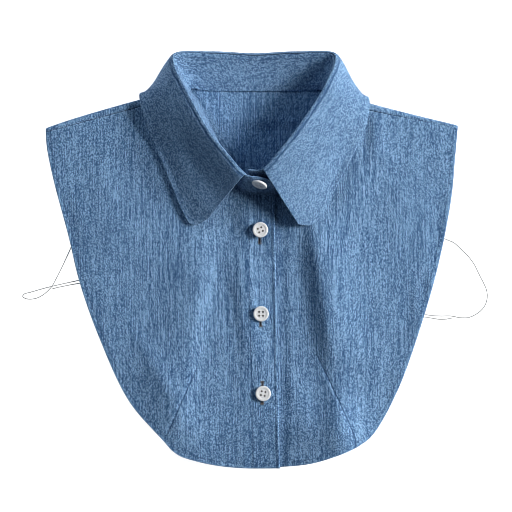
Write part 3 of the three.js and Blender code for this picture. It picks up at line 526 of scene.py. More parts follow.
def cloth_piece(name, middle, thickness, cloth, seam, material, keep=None):
    """A closed wall of cloth round a grid of middle points, with its weave directions and seam distances"""
    nu, nv = middle.shape[:2]
    normal = grid_normals(middle)
    shift = normal * (np.broadcast_to(thickness, (nu, nv)) / 2)[..., None]
    points = np.concatenate([(middle + shift).reshape(-1, 3), (middle - shift).reshape(-1, 3)])
    index = np.arange(nu * nv).reshape(nu, nv)
    cells = np.ones((nu - 1, nv - 1), bool) if keep is None else keep
    i, j = np.nonzero(cells)
    a, b, c, d = index[i, j], index[i + 1, j], index[i + 1, j + 1], index[i, j + 1]
    below = nu * nv
    faces = [np.stack([a, b, c, d], 1), np.stack([a, d, c, b], 1) + below]
    framed = np.zeros((nu + 1, nv + 1), bool)
    framed[1:-1, 1:-1] = cells
    for (di, dj, p, q) in ((0, -1, (0, 0), (1, 0)), (1, 0, (1, 0), (1, 1)), (0, 1, (1, 1), (0, 1)),
                           (-1, 0, (0, 1), (0, 0))):
        open_side = ~framed[i + 1 + di, j + 1 + dj]
        start = index[i + p[0], j + p[1]][open_side]
        end = index[i + q[0], j + q[1]][open_side]
        faces.append(np.stack([start + below, end + below, end, start], 1))
    faces = np.concatenate(faces)
    used = np.unique(faces)
    fresh = np.full(2 * nu * nv, -1)
    fresh[used] = np.arange(len(used))
    piece = new_piece(name, points[used], fresh[faces].tolist(), material)
    both = np.concatenate([cloth.reshape(-1, 3), cloth.reshape(-1, 3) + REVERSE_SHIFT])[used]
    layer = piece.data.attributes.new("cloth", "FLOAT_VECTOR", "POINT")
    layer.data.foreach_set("vector", both.astype(np.float32).ravel())
    for key in SEAM_LINES:
        value = np.broadcast_to(seam.get(key, FAR), (nu, nv))
        twice = np.concatenate([np.ravel(value), np.ravel(value)])[used]
        layer = piece.data.attributes.new(key, "FLOAT", "POINT")
        layer.data.foreach_set("value", twice.astype(np.float32))
    return piece


def cloth_map(x, y, offset):
    """Weave coordinates of a cloth, in millimetres: x across the warp, y along it, and its own offset"""
    return np.stack([x, y, np.full(np.shape(x), float(offset))], -1)


def surface_tree(piece):
    """A search tree of a piece's surface"""
    mesh = piece.data
    return BVHTree.FromPolygons([v.co for v in mesh.vertices], [tuple(p.vertices) for p in mesh.polygons])


def lay_on(tree, line):
    """A flat line laid on the top of a piece: its points and the normals there, in millimetres"""
    points, normals = [], []
    for x, y in line:
        hit, normal, _, _ = tree.ray_cast(Vector((x, y, ABOVE_ALL)) * MM, Vector((0, 0, -1)))
        if hit is not None:
            points.append(tuple(hit / MM))
            normals.append(tuple(normal))
    return np.array(points), np.array(normals)


# Materials

def shader_of(name):
    """A new material, with its tree and its shader"""
    material = bpy.data.materials.new(name)
    material.use_nodes = True
    tree = material.node_tree
    return material, tree, tree.nodes["Principled BSDF"]


def add_node(tree, kind, values=None, **fields):
    """A shader node with its fields set and some of its inputs linked or filled"""
    node = tree.nodes.new(kind)
    for key, value in fields.items():
        setattr(node, key, value)
    for key, value in (values or {}).items():
        if isinstance(value, bpy.types.NodeSocket):
            tree.links.new(value, node.inputs[key])
        else:
            node.inputs[key].default_value = value
    return node


def math_node(tree, operation, *values, clamp=False):
    """The result of one sum"""
    node = add_node(tree, "ShaderNodeMath", dict(enumerate(values)), operation=operation, use_clamp=clamp)
    return node.outputs[0]


def grain(tree, coordinate, scale, detail=2.0, roughness=0.55, distortion=0.0):
    """Noise with its own grain in each direction, from 0 to 1 round a half"""
    stretched = add_node(tree, "ShaderNodeMapping", {"Vector": coordinate, "Scale": scale})
    found = add_node(tree, "ShaderNodeTexNoise", {"Vector": stretched.outputs[0], "Scale": 1.0,
                                                  "Detail": detail, "Roughness": roughness,
                                                  "Distortion": distortion})
    return found.outputs[0]


def yarns(tree, axes, wander, width, length):
    """A random shade for each stretch of each warp yarn, from 0 to 1; lengths in millimetres"""
    aside = math_node(tree, "MULTIPLY_ADD", wander, YARN_WANDER["reach"], axes.outputs["X"])
    column = math_node(tree, "FLOOR", math_node(tree, "DIVIDE", aside, width))
    shift = add_node(tree, "ShaderNodeTexWhiteNoise", {"W": column}, noise_dimensions="1D").outputs["Value"]
    run = math_node(tree, "ADD", math_node(tree, "DIVIDE", axes.outputs["Y"], length), shift)
    row = math_node(tree, "FLOOR", run)
    cell = add_node(tree, "ShaderNodeCombineXYZ", {"X": column, "Y": row, "Z": axes.outputs["Z"]}).outputs[0]
    return add_node(tree, "ShaderNodeTexWhiteNoise", {"Vector": cell}, noise_dimensions="3D").outputs["Value"]


def seam_shade(tree, seams):
    """How much the given seam lines show in the colour, the join's painted shade among them: a soft line
    along each
    """
    shade = 0.0
    for key, middle, width, weight in seams:
        line = add_node(tree, "ShaderNodeAttribute", attribute_name=key).outputs["Fac"]
        aside = math_node(tree, "DIVIDE", math_node(tree, "SUBTRACT", line, middle), width)
        square = math_node(tree, "MULTIPLY", aside, aside)
        shows = math_node(tree, "EXPONENT", math_node(tree, "MULTIPLY", square, -1.0))
        shade = math_node(tree, "MULTIPLY_ADD", shows, weight, shade)
    return shade


def dye(tree, place, yarn, contrast, streak):
    """Shade of the washed dye before its seams, from dark to light round a half"""
    parts = [(yarn["slub"], YARN_SHADE["slub"] * streak),
             (yarn["long_slub"], YARN_SHADE["long_slub"] * streak),
             (yarn["speck"], YARN_SHADE["speck"])]
    for across, along_warp, detail, roughness, weight in BLOTCHES:
        parts.append((grain(tree, place, (1 / across, 1 / along_warp, 1), detail, roughness), weight))
    shade = 0.5
    for source, weight in parts:
        centred = math_node(tree, "SUBTRACT", source, 0.5)
        shade = math_node(tree, "MULTIPLY_ADD", centred, weight * contrast, shade)
    return shade


def dye_colours(tree, shade, tones):
    """The dye's colour, from its dark to its light tone by way of the middle one"""
    ramp = add_node(tree, "ShaderNodeValToRGB", {"Fac": shade})
    stops = ramp.color_ramp.elements
    stops[0].position, stops[1].position = SHADE_STOPS[0], SHADE_STOPS[2]
    stops[0].color, stops[1].color = tones[0], tones[2]
    stops.new(SHADE_STOPS[1]).color = tones[1]
    return ramp.outputs["Color"]


def weave_relief(tree, axes, yarn, grooves_and_shade):
    """Relief of the plain weave and its slubs, with the stitch lines sunk"""
    height = 0.0
    for axis in (0, 1):
        turn = math_node(tree, "MULTIPLY", axes.outputs[axis], 2 * math.pi / WEAVE["step"])
        wave = math_node(tree, "SINE", turn)
        height = math_node(tree, "MULTIPLY_ADD", wave, WEAVE["height"], height)
    for source, weight in ((yarn["slub"], WEAVE["slub"]), (yarn["speck"], WEAVE["speck"]),
                           (grooves_and_shade, WEAVE["groove"])):
        height = math_node(tree, "MULTIPLY_ADD", source, weight, height)
    return add_node(tree, "ShaderNodeBump", {"Height": height, "Strength": WEAVE["strength"],
                                             "Distance": WEAVE["depth"] * MM}).outputs[0]


def cloth_material(name, colours, contrast=1.0, shade=1.0, streak=1.0):
    """Washed chambray: slubbed warp, pale weft, mottled dye, and seams that are dark beside a worn ridge, the
    joins darkened with painted shade
    """
    material, tree, shader = shader_of(name)
    place = add_node(tree, "ShaderNodeAttribute", attribute_name="cloth").outputs["Vector"]
    axes = add_node(tree, "ShaderNodeSeparateXYZ", {"Vector": place})
    across, along_warp = YARN_WANDER["grain"]
    wander = grain(tree, place, (1 / across, 1 / along_warp, 1))
    yarn = {kind: yarns(tree, axes, wander, *size) for kind, size in YARNS.items()}
    value = dye(tree, place, yarn, contrast, streak)
    # Dark seam lines; along the joins this darkening is painted shade
    grooves_and_shade = seam_shade(tree, DARK_SEAMS)
    value = math_node(tree, "MULTIPLY_ADD", grooves_and_shade, SEAM_SHADE["dark"], value)
    worn = seam_shade(tree, WORN_SEAMS)
    value = math_node(tree, "MULTIPLY_ADD", worn, SEAM_SHADE["worn"], value, clamp=True)
    tones = [(*[c * shade for c in tone], 1) for tone in (colours.dark, colours.middle, colours.light)]
    tree.links.new(dye_colours(tree, value, tones), shader.inputs["Base Color"])
    tree.links.new(weave_relief(tree, axes, yarn, grooves_and_shade), shader.inputs["Normal"])
    rough = math_node(tree, "MULTIPLY_ADD", yarn["slub"], 0.16, 0.78)
    tree.links.new(rough, shader.inputs["Roughness"])
    shader.inputs["Specular IOR Level"].default_value = 0.18
    shader.inputs["Sheen Weight"].default_value = 0.12
    shader.inputs["Sheen Roughness"].default_value = 0.5
    return material


def two_tones(tree, shader, share, colour, low, high):
    """Colour that runs from a darker to a lighter tone of the given one"""
    tones = [(*[min(1, c * by) for c in colour], 1) for by in (low, high)]
    tone = add_node(tree, "ShaderNodeMixRGB", {"Fac": share, "Color1": tones[0], "Color2": tones[1]})
    tree.links.new(tone.outputs[0], shader.inputs["Base Color"])


def twist_material(name, colour, fineness, tones, depth, roughness):
    """Twisted or braided thread: flecks of two tones, with a little relief"""
    material, tree, shader = shader_of(name)
    place = add_node(tree, "ShaderNodeTexCoord").outputs["Object"]
    fleck = grain(tree, place, (fineness, fineness, fineness), 2.0)
    two_tones(tree, shader, fleck, colour, *tones)
    bump = add_node(tree, "ShaderNodeBump", {"Height": fleck, "Strength": depth, "Distance": 0.05 * MM})
    tree.links.new(bump.outputs[0], shader.inputs["Normal"])
    shader.inputs["Roughness"].default_value = roughness
    return material


def thread_material(name, colour):
    """Twisted sewing thread"""
    return twist_material(name, colour, 2600, (0.7, 1.35), 0.4, 0.7)


def button_material(colours):
    """Polished pearly resin, faintly clouded"""
    material, tree, shader = shader_of("button_pearl")
    place = add_node(tree, "ShaderNodeTexCoord").outputs["Object"]
    cloud = grain(tree, place, (420, 180, 300), 3.0, 0.6, 0.8)
    two_tones(tree, shader, cloud, colours.button, 0.90, 1.06)
    rough = math_node(tree, "MULTIPLY_ADD", cloud, 0.12, 0.22)
    tree.links.new(rough, shader.inputs["Roughness"])
    shader.inputs["Coat Weight"].default_value = 0.3
    shader.inputs["Coat Roughness"].default_value = 0.15
    return material


def elastic_material(colours):
    """Thin clear elastic with a faint braid"""
    return twist_material("elastic_cord", colours.elastic, 900, (0.82, 1.2), 0.3, 0.38)


def materials(context):
    """The materials of the whole garment, made once"""
    colours = context.scene.collar_colours
    if "chambray_panel" not in bpy.data.materials:
        cloth_material("chambray_panel", colours)
        cloth_material("chambray_collar", colours, contrast=1.45, shade=0.93, streak=0.3)
        thread_material("sewing_thread", colours.thread)
        thread_material("buttonhole_thread", colours.buttonhole)
        # Near-black thread: painted shade inside the button holes and in the buttonhole slits
        thread_material("dark_thread_painted_shade", [c * 0.08 for c in colours.buttonhole])
        button_material(colours)
        elastic_material(colours)
    return bpy.data.materials


# The bib's panels

def front_edges(left):
    """West, east, south and hemmed outline of a front, and its neckline"""
    seams = section_line("seam")
    if left:
        neck = dense([p[:2] for p in seams[:6]] + [LEFT_SEAM[1]])
        west, south = dense(LEFT_SIDE), dense(LEFT_HEM)
        east = joined(dense(PLACKET_EDGE), neck)
        hem = inset(joined(west[::-1], south), HEM_STITCH)
        outline = joined(west[::-1], south)
    else:
        rows = [seams[k][:2] for k in (21, 20, 19, 18)]
        neck = dense(rows + [RIGHT_SEAM[1]])
        west = joined(dense(UNDERLAP_EDGE), neck)
        east, south = dense(RIGHT_SIDE), dense(RIGHT_HEM)
        hem = inset(joined(south, east), HEM_STITCH)
        outline = joined(south, east)
    return {"west": west, "east": east, "south": south, "neck": neck, "hem": hem, "outline": outline}


def front_grid(edges, across, upward):
    """Plan of a front: a grid between its edges, its lines gathered along the rims"""
    even_v = np.linspace(0, 1, upward)
    even_u = np.linspace(0, 1, across)
    width = np.linalg.norm(along(edges["east"], even_v) - along(edges["west"], even_v), axis=1)
    top_line = np.stack([edges["west"][-1], edges["east"][-1]])
    height = np.linalg.norm(along(top_line, even_u) - along(edges["south"], even_u), axis=1)
    u = ladder(width, across)
    v = ladder(height, upward).T
    west, east = along(edges["west"], v), along(edges["east"], v)
    south = along(edges["south"], u)
    chord = edges["south"][0] + (edges["south"][-1] - edges["south"][0]) * u[..., None]
    bow = (south - chord) * ((1 - v) ** 2)[..., None]
    return west + (east - west) * u[..., None] + bow


def cloth_relief(x, y, seed, settings):
    """Creases and soft wrinkles of flat cloth"""
    height = sum(fold_height(crease, x, y) for crease in CREASES)
    for across, upward, share, shift in WRINKLES:
        height = height + share * settings.wrinkle * noise_at(x, y, across, upward, seed + shift)
    return height


def seam_relief(distance, run, seed, settings, reach):
    """Puckers that run out from a stitch line"""
    ripple = sum(share * noise_at(run, distance * stretch, along_line, away, seed + shift)
                 for share, stretch, along_line, away, shift in PUCKERS)
    return settings.pucker * ripple * np.exp(-(distance / reach) ** 2)


def placket_relief(x, y, lines, seed, settings):
    """Puckers along the placket's two stitch lines, and the ridge of its folded edge"""
    left_away, left_run = nearest(lines["left"], x, y)
    right_away, right_run = nearest(lines["right"], x, y)
    edge = dense(PLACKET_EDGE)
    from_edge = np.interp(y, edge[:, 1], edge[:, 0]) - x
    ridge = np.exp(-((from_edge - PLACKET_RIDGE["inset"]) / PLACKET_RIDGE["width"]) ** 2)
    return (seam_relief(left_away, left_run, seed + 7, settings, PUCKER_REACH["placket_left"])
            + 0.7 * seam_relief(right_away, right_run, seed + 9, settings, PUCKER_REACH["placket_edge"])
            + PLACKET_RIDGE["height"] * ridge)


def button_relief(x, y, left, calm):
    """Small waves round each placket button, and on the lapping front the dent that the button presses"""
    waves, press = BUTTON_WAVES, BUTTON_PRESS
    height = np.zeros_like(x)
    for button_x, button_y, _ in PLACKET_BUTTONS:
        gap = np.hypot(x - button_x, y - button_y)
        turn = np.arctan2(y - button_y, x - button_x)
        ring = np.exp(-((gap - waves["radius"]) / waves["width"]) ** 2)
        height = height + waves["height"] * ring * np.sin(waves["count"] * turn + button_x) * calm
        if left:
            height = height - press["depth"] * np.exp(-(gap / press["radius"]) ** 2)
    return height


def dart_relief(dart, x, y):
    """A dart's distance, with a sign between its ends, and its relief: a groove beside a low bulge"""
    away, run = nearest(dart, x, y)
    side = np.sign(np.interp(y, dart[::-1, 1], dart[::-1, 0]) - x)
    inside = (run > 0.01) & (run < lengths(dart)[-1] - 0.01)
    high, low = dart[0, 1], dart[-1, 1]
    shows = rise(y, low - 4, low + 3) * rise(y, high + 4, high - 10)
    bulge = DART["bulge"] * np.exp(-((away - DART["bulge_aside"]) / DART["bulge_aside"]) ** 2) * (side > 0)
    groove = DART["groove"] * np.exp(-(away / DART["groove_width"]) ** 2)
    return np.where(inside, -side * away, away), shows * (bulge - groove)


def make_front(context, left):
    """One front of the bib as a closed sheet, with its hem, seams and creases"""
    settings = cloth_sizes(context)
    edges = front_edges(left)
    plan = front_grid(edges, settings.detail, int(settings.detail * FRONT_ROWS))
    x, y = plan[..., 0], plan[..., 1]
    seed = 2.0 if left else 40.0
    edge_away, _ = nearest(edges["outline"], x, y)
    hem_away, hem_run = nearest(edges["hem"], x, y)
    neck_away, _ = nearest(edges["neck"], x, y)
    calm = rise(neck_away, 0, NECK_CALM)
    # The join runs along the neck seam under the collar; its dark line is painted shade
    seams = {"hem": edge_away - HEM_STITCH, "join_and_shade": neck_away - 0.2}
    seams["dart"], dart_height = dart_relief(dense(LEFT_DART if left else RIGHT_DART), x, y)
    height = (front_top(x, y) + calm * cloth_relief(x, y, seed, settings)
              + seam_relief(hem_away, hem_run, seed + 1, settings, PUCKER_REACH["hem"])
              + button_relief(x, y, left, calm) + dart_height)
    thick = settings.panel + settings.hem * rise(edge_away, HEM_DEPTH + 0.5, HEM_DEPTH - 0.3)
    if left:
        lines = placket_lines()
        from_line = x - np.interp(y, lines["left"][::-1, 1], lines["left"][::-1, 0])
        seams["line_a"] = np.where(y < PLACKET_STITCH_LEFT[0][1], from_line, FAR)
        seams["line_b"] = x - np.interp(y, lines["right"][:, 1], lines["right"][:, 0])
        height = height + placket_relief(x, y, lines, seed, settings)
        thick = thick + settings.hem * rise(from_line, -0.8, 0.3)
    else:
        reach = rise(y, UNDERLAP["y_none"], UNDERLAP["y_full"])
        height = height - UNDERLAP["drop"] * reach * rise(x, UNDERLAP["x_none"], UNDERLAP["x_full"])
    node = "front_left" if left else "front_right"
    height = np.maximum(height, FRONT_FLOOR[node] + thick)
    middle = np.stack([x, y, height - thick / 2], -1)
    seams["rim"] = rim_distance(middle)
    piece = cloth_piece(f"{node}_cloth", middle, rounded(seams["rim"], thick), cloth_map(x, y, seed), seams,
                        materials(context)["chambray_panel"])
    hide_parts(node)
    return piece


def placket_lines():
    """The two stitch lines of the placket"""
    right = inset(dense(PLACKET_EDGE), PLACKET_STITCH_RIGHT_INSET)
    return {"left": dense(PLACKET_STITCH_LEFT), "right": right}


def back_counts(settings):
    """Columns of one shoulder and of the neck, rows up the back, and rows of the fold and the strip"""
    share = settings.detail / 150
    return int(56 * share), int(44 * share), int(120 * share), 12, 5


def back_edges():
    """West, east and lower outline of the back, a little inside those of the fronts"""
    west = dense([(x + BACK_INSET, y) for x, y in LEFT_SIDE[:-1]] + [LEFT_SHOULDER[0]])
    east = dense([(x - BACK_INSET, y) for x, y in RIGHT_SIDE[:-1]] + [RIGHT_SHOULDER[0]])
    points = LEFT_HEM[:-1] + RIGHT_HEM[1:]
    last = len(points) - 1
    hem = dense([(x + BACK_INSET * ((k == 0) - (k == last)), y + BACK_INSET * (0 < k < last))
                 for k, (x, y) in enumerate(points)])
    return west, east, hem


def between(first, second, share):
    """The place at a share of the way from one point to another; share may be a column"""
    return np.asarray(first) * (1 - share) + np.asarray(second) * share


def back_top(i, shoulder, neck):
    """Where a column of the back ends: its upper edge, the seam that it reaches, and whether it folds over"""
    if i <= shoulder:
        share = i / shoulder
        return along(dense(LEFT_SHOULDER), share), between(*LEFT_SEAM, share), True
    if i >= shoulder + neck:
        share = (2 * shoulder + neck - i) / shoulder
        return along(dense(RIGHT_SHOULDER), share), between(*RIGHT_SEAM, share), True
    share = (i - shoulder) / neck
    dip = np.clip(min(share, 1 - share) * BACK_NECK["ends"], 0, 1)
    edge = between(LEFT_SHOULDER[-1], RIGHT_SHOULDER[-1], share)
    edge[1] = edge[1] * (1 - dip) + BACK_NECK["y"] * dip
    return edge, edge, False


def back_column(i, counts, outline, thickness):
    """Middle points of one column of the back: up the panel, round the fold and down its strip"""
    shoulder, neck, rows, fold, last = counts
    west, east, hem = outline
    edge, seam, strip = back_top(i, shoulder, neck)
    low = float(back_underside(*edge)) + PANEL_CLOTH / 2
    high = float(front_top(*seam)) - thickness / 2
    down, radius, centre = np.zeros(2), 0, edge
    if strip:
        width = float(np.hypot(*(seam - edge)))
        down = (seam - edge) / width
        radius = min((high - low) / 2, width / 2)
        centre = edge + down * (PANEL_CLOTH / 2 + radius)
    even = np.linspace(0, 1, rows + 1)
    v = 1 - (1 - even) ** BACK_ROWS["gather"]
    v = between(v, even, BACK_ROWS["even"])
    share = i / (2 * shoulder + neck)
    side = between(along(west, v), along(east, v), share)
    chord = between(between(west[0], east[0], share), between(LEFT_SHOULDER[0], RIGHT_SHOULDER[0], share),
                    v[:, None])
    bow = side - chord
    bow[-1] = 0
    flat = between(along(hem, share), centre, v[:, None]) + bow
    angle = np.linspace(-math.pi / 2, math.pi / 2, fold + 1)[1:]
    turn = centre - down * (radius * np.cos(angle))[:, None]
    end = seam - down * STRIP_END_GAP
    over = between(centre, end, (np.arange(1, last + 1) / last)[:, None])
    heights = [back_underside(flat[:, 0], flat[:, 1]) + thickness / 2,
               (low + high) / 2 + (high - low) / 2 * np.sin(angle), np.full(last, high)]
    return np.column_stack([np.vstack([flat, turn, over]), np.concatenate(heights)])


def back_rims(grid, shoulder, neck, rows):
    """Distance to the rim of the back, whose neck has no strip"""
    rims = rim_distance(grid)
    inner = slice(shoulder + 1, shoulder + neck)
    run = lengths(grid[shoulder + neck // 2, :rows + 1])
    side_run = lengths(grid[:, rows // 2])
    upward = np.minimum(run, run[-1] - run)
    across = np.minimum(side_run, side_run[-1] - side_run)
    rims[inner, :rows + 1] = np.minimum(upward[None, :], across[inner, None])
    return rims


def make_back(context):
    """The back panel with its strips, which fold over the shoulders to the seams on the front"""
    settings = cloth_sizes(context)
    counts = back_counts(settings)
    shoulder, neck, rows, _, _ = counts
    outline = back_edges()
    grid = np.array([back_column(i, counts, outline, settings.panel) for i in range(2 * shoulder + neck + 1)])
    x, y = grid[..., 0].copy(), grid[..., 1].copy()
    over = y[:, rows, None] + np.cumsum(np.linalg.norm(np.diff(grid[:, rows:], axis=1), axis=2), axis=1)
    unfolded = np.concatenate([y[:, :rows + 1], over], 1)
    west, east, hem = outline
    rim_line = joined(west[::-1], hem, east)
    hem_away, hem_run = nearest(inset(rim_line, HEM_STITCH), x, unfolded)
    edge_away, _ = nearest(rim_line, x, unfolded)
    panel = (np.arange(grid.shape[1]) <= rows)[None, :]
    relief = (0.5 * cloth_relief(x, y, 70.0, settings)
              + seam_relief(hem_away, hem_run, 72.0, settings, PUCKER_REACH["back_hem"]))
    strip_wave = 0.5 * seam_relief(np.zeros_like(x), x, 75.0, settings, PUCKER_REACH["hem"])
    grid[..., 2] += np.where(panel, np.maximum(relief, 0) * rise(BACK_NECK["y"] - y, 0, 9), strip_wave)
    keep = np.ones((grid.shape[0] - 1, grid.shape[1] - 1), bool)
    keep[shoulder:shoulder + neck, rows:] = False
    rims = back_rims(grid, shoulder, neck, rows)
    # The join is the end of each shoulder strip on the front; its dark line is painted shade in the seam's
    # ditch
    away_from_join_and_shade = (grid.shape[1] - 1 - np.arange(grid.shape[1]))[None, :] * 1.5 + 0.1
    seams = {"hem": np.where(panel, edge_away - HEM_STITCH, FAR), "rim": rims,
             "join_and_shade": np.where(panel, FAR, away_from_join_and_shade)}
    piece = cloth_piece("back_cloth", grid, rounded(rims, settings.panel), cloth_map(x, unfolded, 70), seams,
                        materials(context)["chambray_panel"], keep)
    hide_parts("back_panel")
    return piece


# The collar

def stand_grid(settings):
    """Middle surface of the stand, from the seam to just under the fold"""
    around = int(settings.detail * 2.2)
    s = ladder(STAND["length"], around)
    h = ladder(STAND["height"], STAND["rows"]) * STAND["reach"] + STAND["start"]
    low = curve_at(section_line("seam"), s)
    high = curve_at(section_line("top"), s)
    middle = low[:, None] + (high - low)[:, None] * h[None, :, None]
    return middle, h, lengths(low)


def waves(run, out, table):
    """Soft waves of the interlined cloth: (grain along, grain across, height, seed) of each kind"""
    return sum(height * noise_at(run, out, size_along, size_across, seed)
               for size_along, size_across, height, seed in table)


def make_stand(context):
    """The band round the neck, stitched along both of its edges"""
    settings = cloth_sizes(context)
    middle, h, run = stand_grid(settings)
    normal = grid_normals(middle)
    up = h[None, :] * STAND["height"] + 0 * run[:, None]
    length = run[:, None] + 0 * up
    bow = np.sin(np.clip(h, 0, 1) * math.pi)[None, :] * rise(run, 0, STAND["bow_from"])[:, None]
    above_low, below_top = up - STAND["low_line"], STAND["top_line"] - up
    away = np.minimum(np.abs(below_top), np.abs(above_low))
    relief = (waves(length, up, STAND_WAVES) - STAND["bow"] * bow
              + 0.8 * seam_relief(away, length, 95.0, settings, PUCKER_REACH["stand"]))
    middle = middle + normal * relief[..., None]
    rims = rim_distance(middle)
    piece = cloth_piece("stand_cloth", middle, rounded(rims, settings.collar), cloth_map(length, up, 95),
                        {"line_a": above_low, "line_b": below_top, "rim": rims},
                        materials(context)["chambray_collar"])
    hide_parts("collar_stand")
    return piece


def leaf_lines(s):
    """The lines that the leaf follows, from the stand's top over its roll, bend and tuck to its edge"""
    station = (LEAF_FIRST + (LEAF_LAST - LEAF_FIRST) * s) / (len(SECTIONS) - 1)
    top = curve_at(section_line("top"), station)
    upward = top - curve_at(section_line("seam"), station)
    upward /= np.linalg.norm(upward, axis=1)[:, None]
    bend, tuck, edge = (curve_at(section_line(column), s) for column in ("bend", "tuck", "edge"))
    away = bend - top
    away -= upward * (away * upward).sum(1)[:, None]
    away /= np.linalg.norm(away, axis=1)[:, None]
    start = top + LEAF_FOLD["height"] * upward + LEAF_FOLD["start_aside"] * away
    shoulder = (top + LEAF_FOLD["height"] * LEAF_FOLD["shoulder_share"] * upward
                + LEAF_FOLD["shoulder_aside"] * away)
    return start, shoulder, bend, tuck, edge


def leaf_grid(around, rungs):
    """Middle points of the leaf, and how far out from its fold each is; its points are trimmed round"""
    even = ladder(LEAF_LENGTH, around)
    s = even - LEAF_GATHER * np.sin(4 * math.pi * even) / (4 * math.pi)
    lines = leaf_lines(s)
    inward = np.clip(1 - np.minimum(s, 1 - s) / TIP_ROUND["along"], 0, 1)
    across, bluntness = (np.where(s < 0.5, *TIP_ROUND[key]) for key in ("across", "bluntness"))
    trim = across * inward ** bluntness
    middle = np.zeros((around, rungs, 3))
    out = np.zeros((around, rungs))
    for i, section in enumerate(np.stack(lines, 1)):
        size = lengths(dense(section, 12))[-1] * (1 - trim[i])
        middle[i] = curve_at(section, (1 - trim[i]) * ladder(size, rungs))
        out[i] = lengths(middle[i])
    return middle, out


def settle_leaf(middle, out, thickness):
    """Sink the soft leaf towards the front that it lies on"""
    rest = front_top(middle[..., 0], middle[..., 1]) + thickness / 2 + LEAF_SETTLE["clearance"]
    outward = out / out[:, -1:]
    settle = (LEAF_SETTLE["middle"] * np.sin(math.pi * outward)
              + LEAF_SETTLE["rim"] * rise(outward, LEAF_SETTLE_AREA["rim_from"], 1))
    settle = settle * rise(middle[..., 1], LEAF_SETTLE_AREA["y_none"], LEAF_SETTLE_AREA["y_full"])
    middle[..., 2] -= np.minimum(settle, np.maximum(middle[..., 2] - rest, 0))


def make_leaf(context):
    """The turned-down leaf: it rolls over the stand, falls to its bend and ends in rounded points"""
    settings = cloth_sizes(context)
    middle, out = leaf_grid(settings.detail * 2, 74)
    normal = grid_normals(middle)
    run = lengths(middle[:, middle.shape[1] // 2])[:, None] + 0 * out
    rims = rim_distance(middle)
    settle_leaf(middle, out, settings.collar)
    from_ridge = np.clip(rims - LEAF_RIDGE["from"], 0, 9)
    ridge = np.exp(-(from_ridge / LEAF_RIDGE["width"]) ** 2)
    relief = waves(run, out, LEAF_WAVES) + LEAF_RIDGE["height"] * ridge
    middle = middle + normal * (relief * rise(out, 1.5, LEAF_ROLL))[..., None]
    middle[..., 2] = np.maximum(middle[..., 2], settings.collar / 2 + 0.06)
    # The join is the leaf's crease on its roll; its dark line is painted shade in the crease
    seams = {"line_a": np.where(out > LEAF_ROLL, rims - EDGE_STITCH, FAR),
             "join_and_shade": np.where(out < LEAF_ROLL, out - LEAF_CREASE, FAR), "rim": rims}
    piece = cloth_piece("leaf_cloth", middle, rounded(rims, settings.collar), cloth_map(out, run, 120), seams,
                        materials(context)["chambray_collar"])
    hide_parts("collar_leaf")
    return piece


# Stitching

def stitch_template():
    """Points and faces of one stitch, one long and two across, which dips at its ends"""
    sides = 6
    angle = np.arange(sides) * 2 * math.pi / sides
    points = np.array([(x, scale * math.cos(a), scale * math.sin(a) + drop)
                       for x, scale, drop in STITCH_RINGS for a in angle])
    rings = len(STITCH_RINGS)
    ring_sides = [(k, (k + 1) % sides) for k in range(sides)]
    quads = [(low + k, low + n, low + sides + n, low + sides + k)
             for low in range(0, (rings - 1) * sides, sides) for k, n in ring_sides]
    caps = [tuple(range(sides))[::-1], tuple((rings - 1) * sides + k for k in range(sides))]
    return points, quads + caps


def stitch_rows(name, rows, material, length, gap, width=0.36, lift=0.05, seed=1, crosswise=0.0):
    """Rows of stitches as one piece. rows: their points and normals; crosswise: a stitch's reach across"""
    dice = np.random.default_rng(seed)
    template, sides = stitch_template()
    points, faces = [], []
    for line, normals in rows:
        reach = lengths(line)
        count = int(reach[-1] / (length + gap))
        if count < 1:
            continue
        middle = (np.arange(count) + 0.5) * reach[-1] / count

        def at(places, values):
            return np.stack([np.interp(places, reach, values[:, c]) for c in range(3)], 1)

        centre, up = at(middle, line), at(middle, normals)
        run = at(middle + 0.4, line) - at(middle - 0.4, line)
        run /= np.linalg.norm(run, axis=1)[:, None]
        aside = np.cross(up, run)
        aside /= np.linalg.norm(aside, axis=1)[:, None]
        up = np.cross(run, aside)
        if crosswise:
            run, aside = aside, -run
        run = run + aside * dice.normal(0, STITCH_UNEVEN["sway"], count)[:, None]
        size = (crosswise or length) * dice.uniform(*STITCH_UNEVEN["length"], count)
        for c in range(count):
            base = len(points)
            local = template * (size[c], width / 2, width / 2)
            stitch = local[:, :1] * run[c] + local[:, 1:2] * aside[c] + (local[:, 2:] + lift) * up[c]
            points.extend((centre[c] + stitch).tolist())
            faces.extend([tuple(base + k for k in face) for face in sides])
    return new_piece(name, points, faces, material)


def even_line(line, first=0.0, last=1.0):
    """A stretch of a line with a point every 1.2 mm or so"""
    return along(line, np.linspace(first, last, int(lengths(line)[-1] / 1.2)))


def front_stitch_lines():
    """Hem, placket and dart lines of both fronts, laid on their cloth"""
    left, right = (surface_tree(bpy.data.objects[name]) for name in ("front_left_cloth", "front_right_cloth"))
    lines = placket_lines()
    hem = even_line(front_edges(False)["hem"], 0.03, 0.998)
    on_left = [even_line(front_edges(True)["hem"], 0.002, 0.995), even_line(lines["left"]),
               even_line(lines["right"], 0.01, 0.99), even_line(dense(LEFT_DART))]
    on_right = [hem[hem[:, 0] > HEM_SHOWS_FROM], even_line(dense(RIGHT_DART))]
    return [lay_on(left, line) for line in on_left] + [lay_on(right, line) for line in on_right]


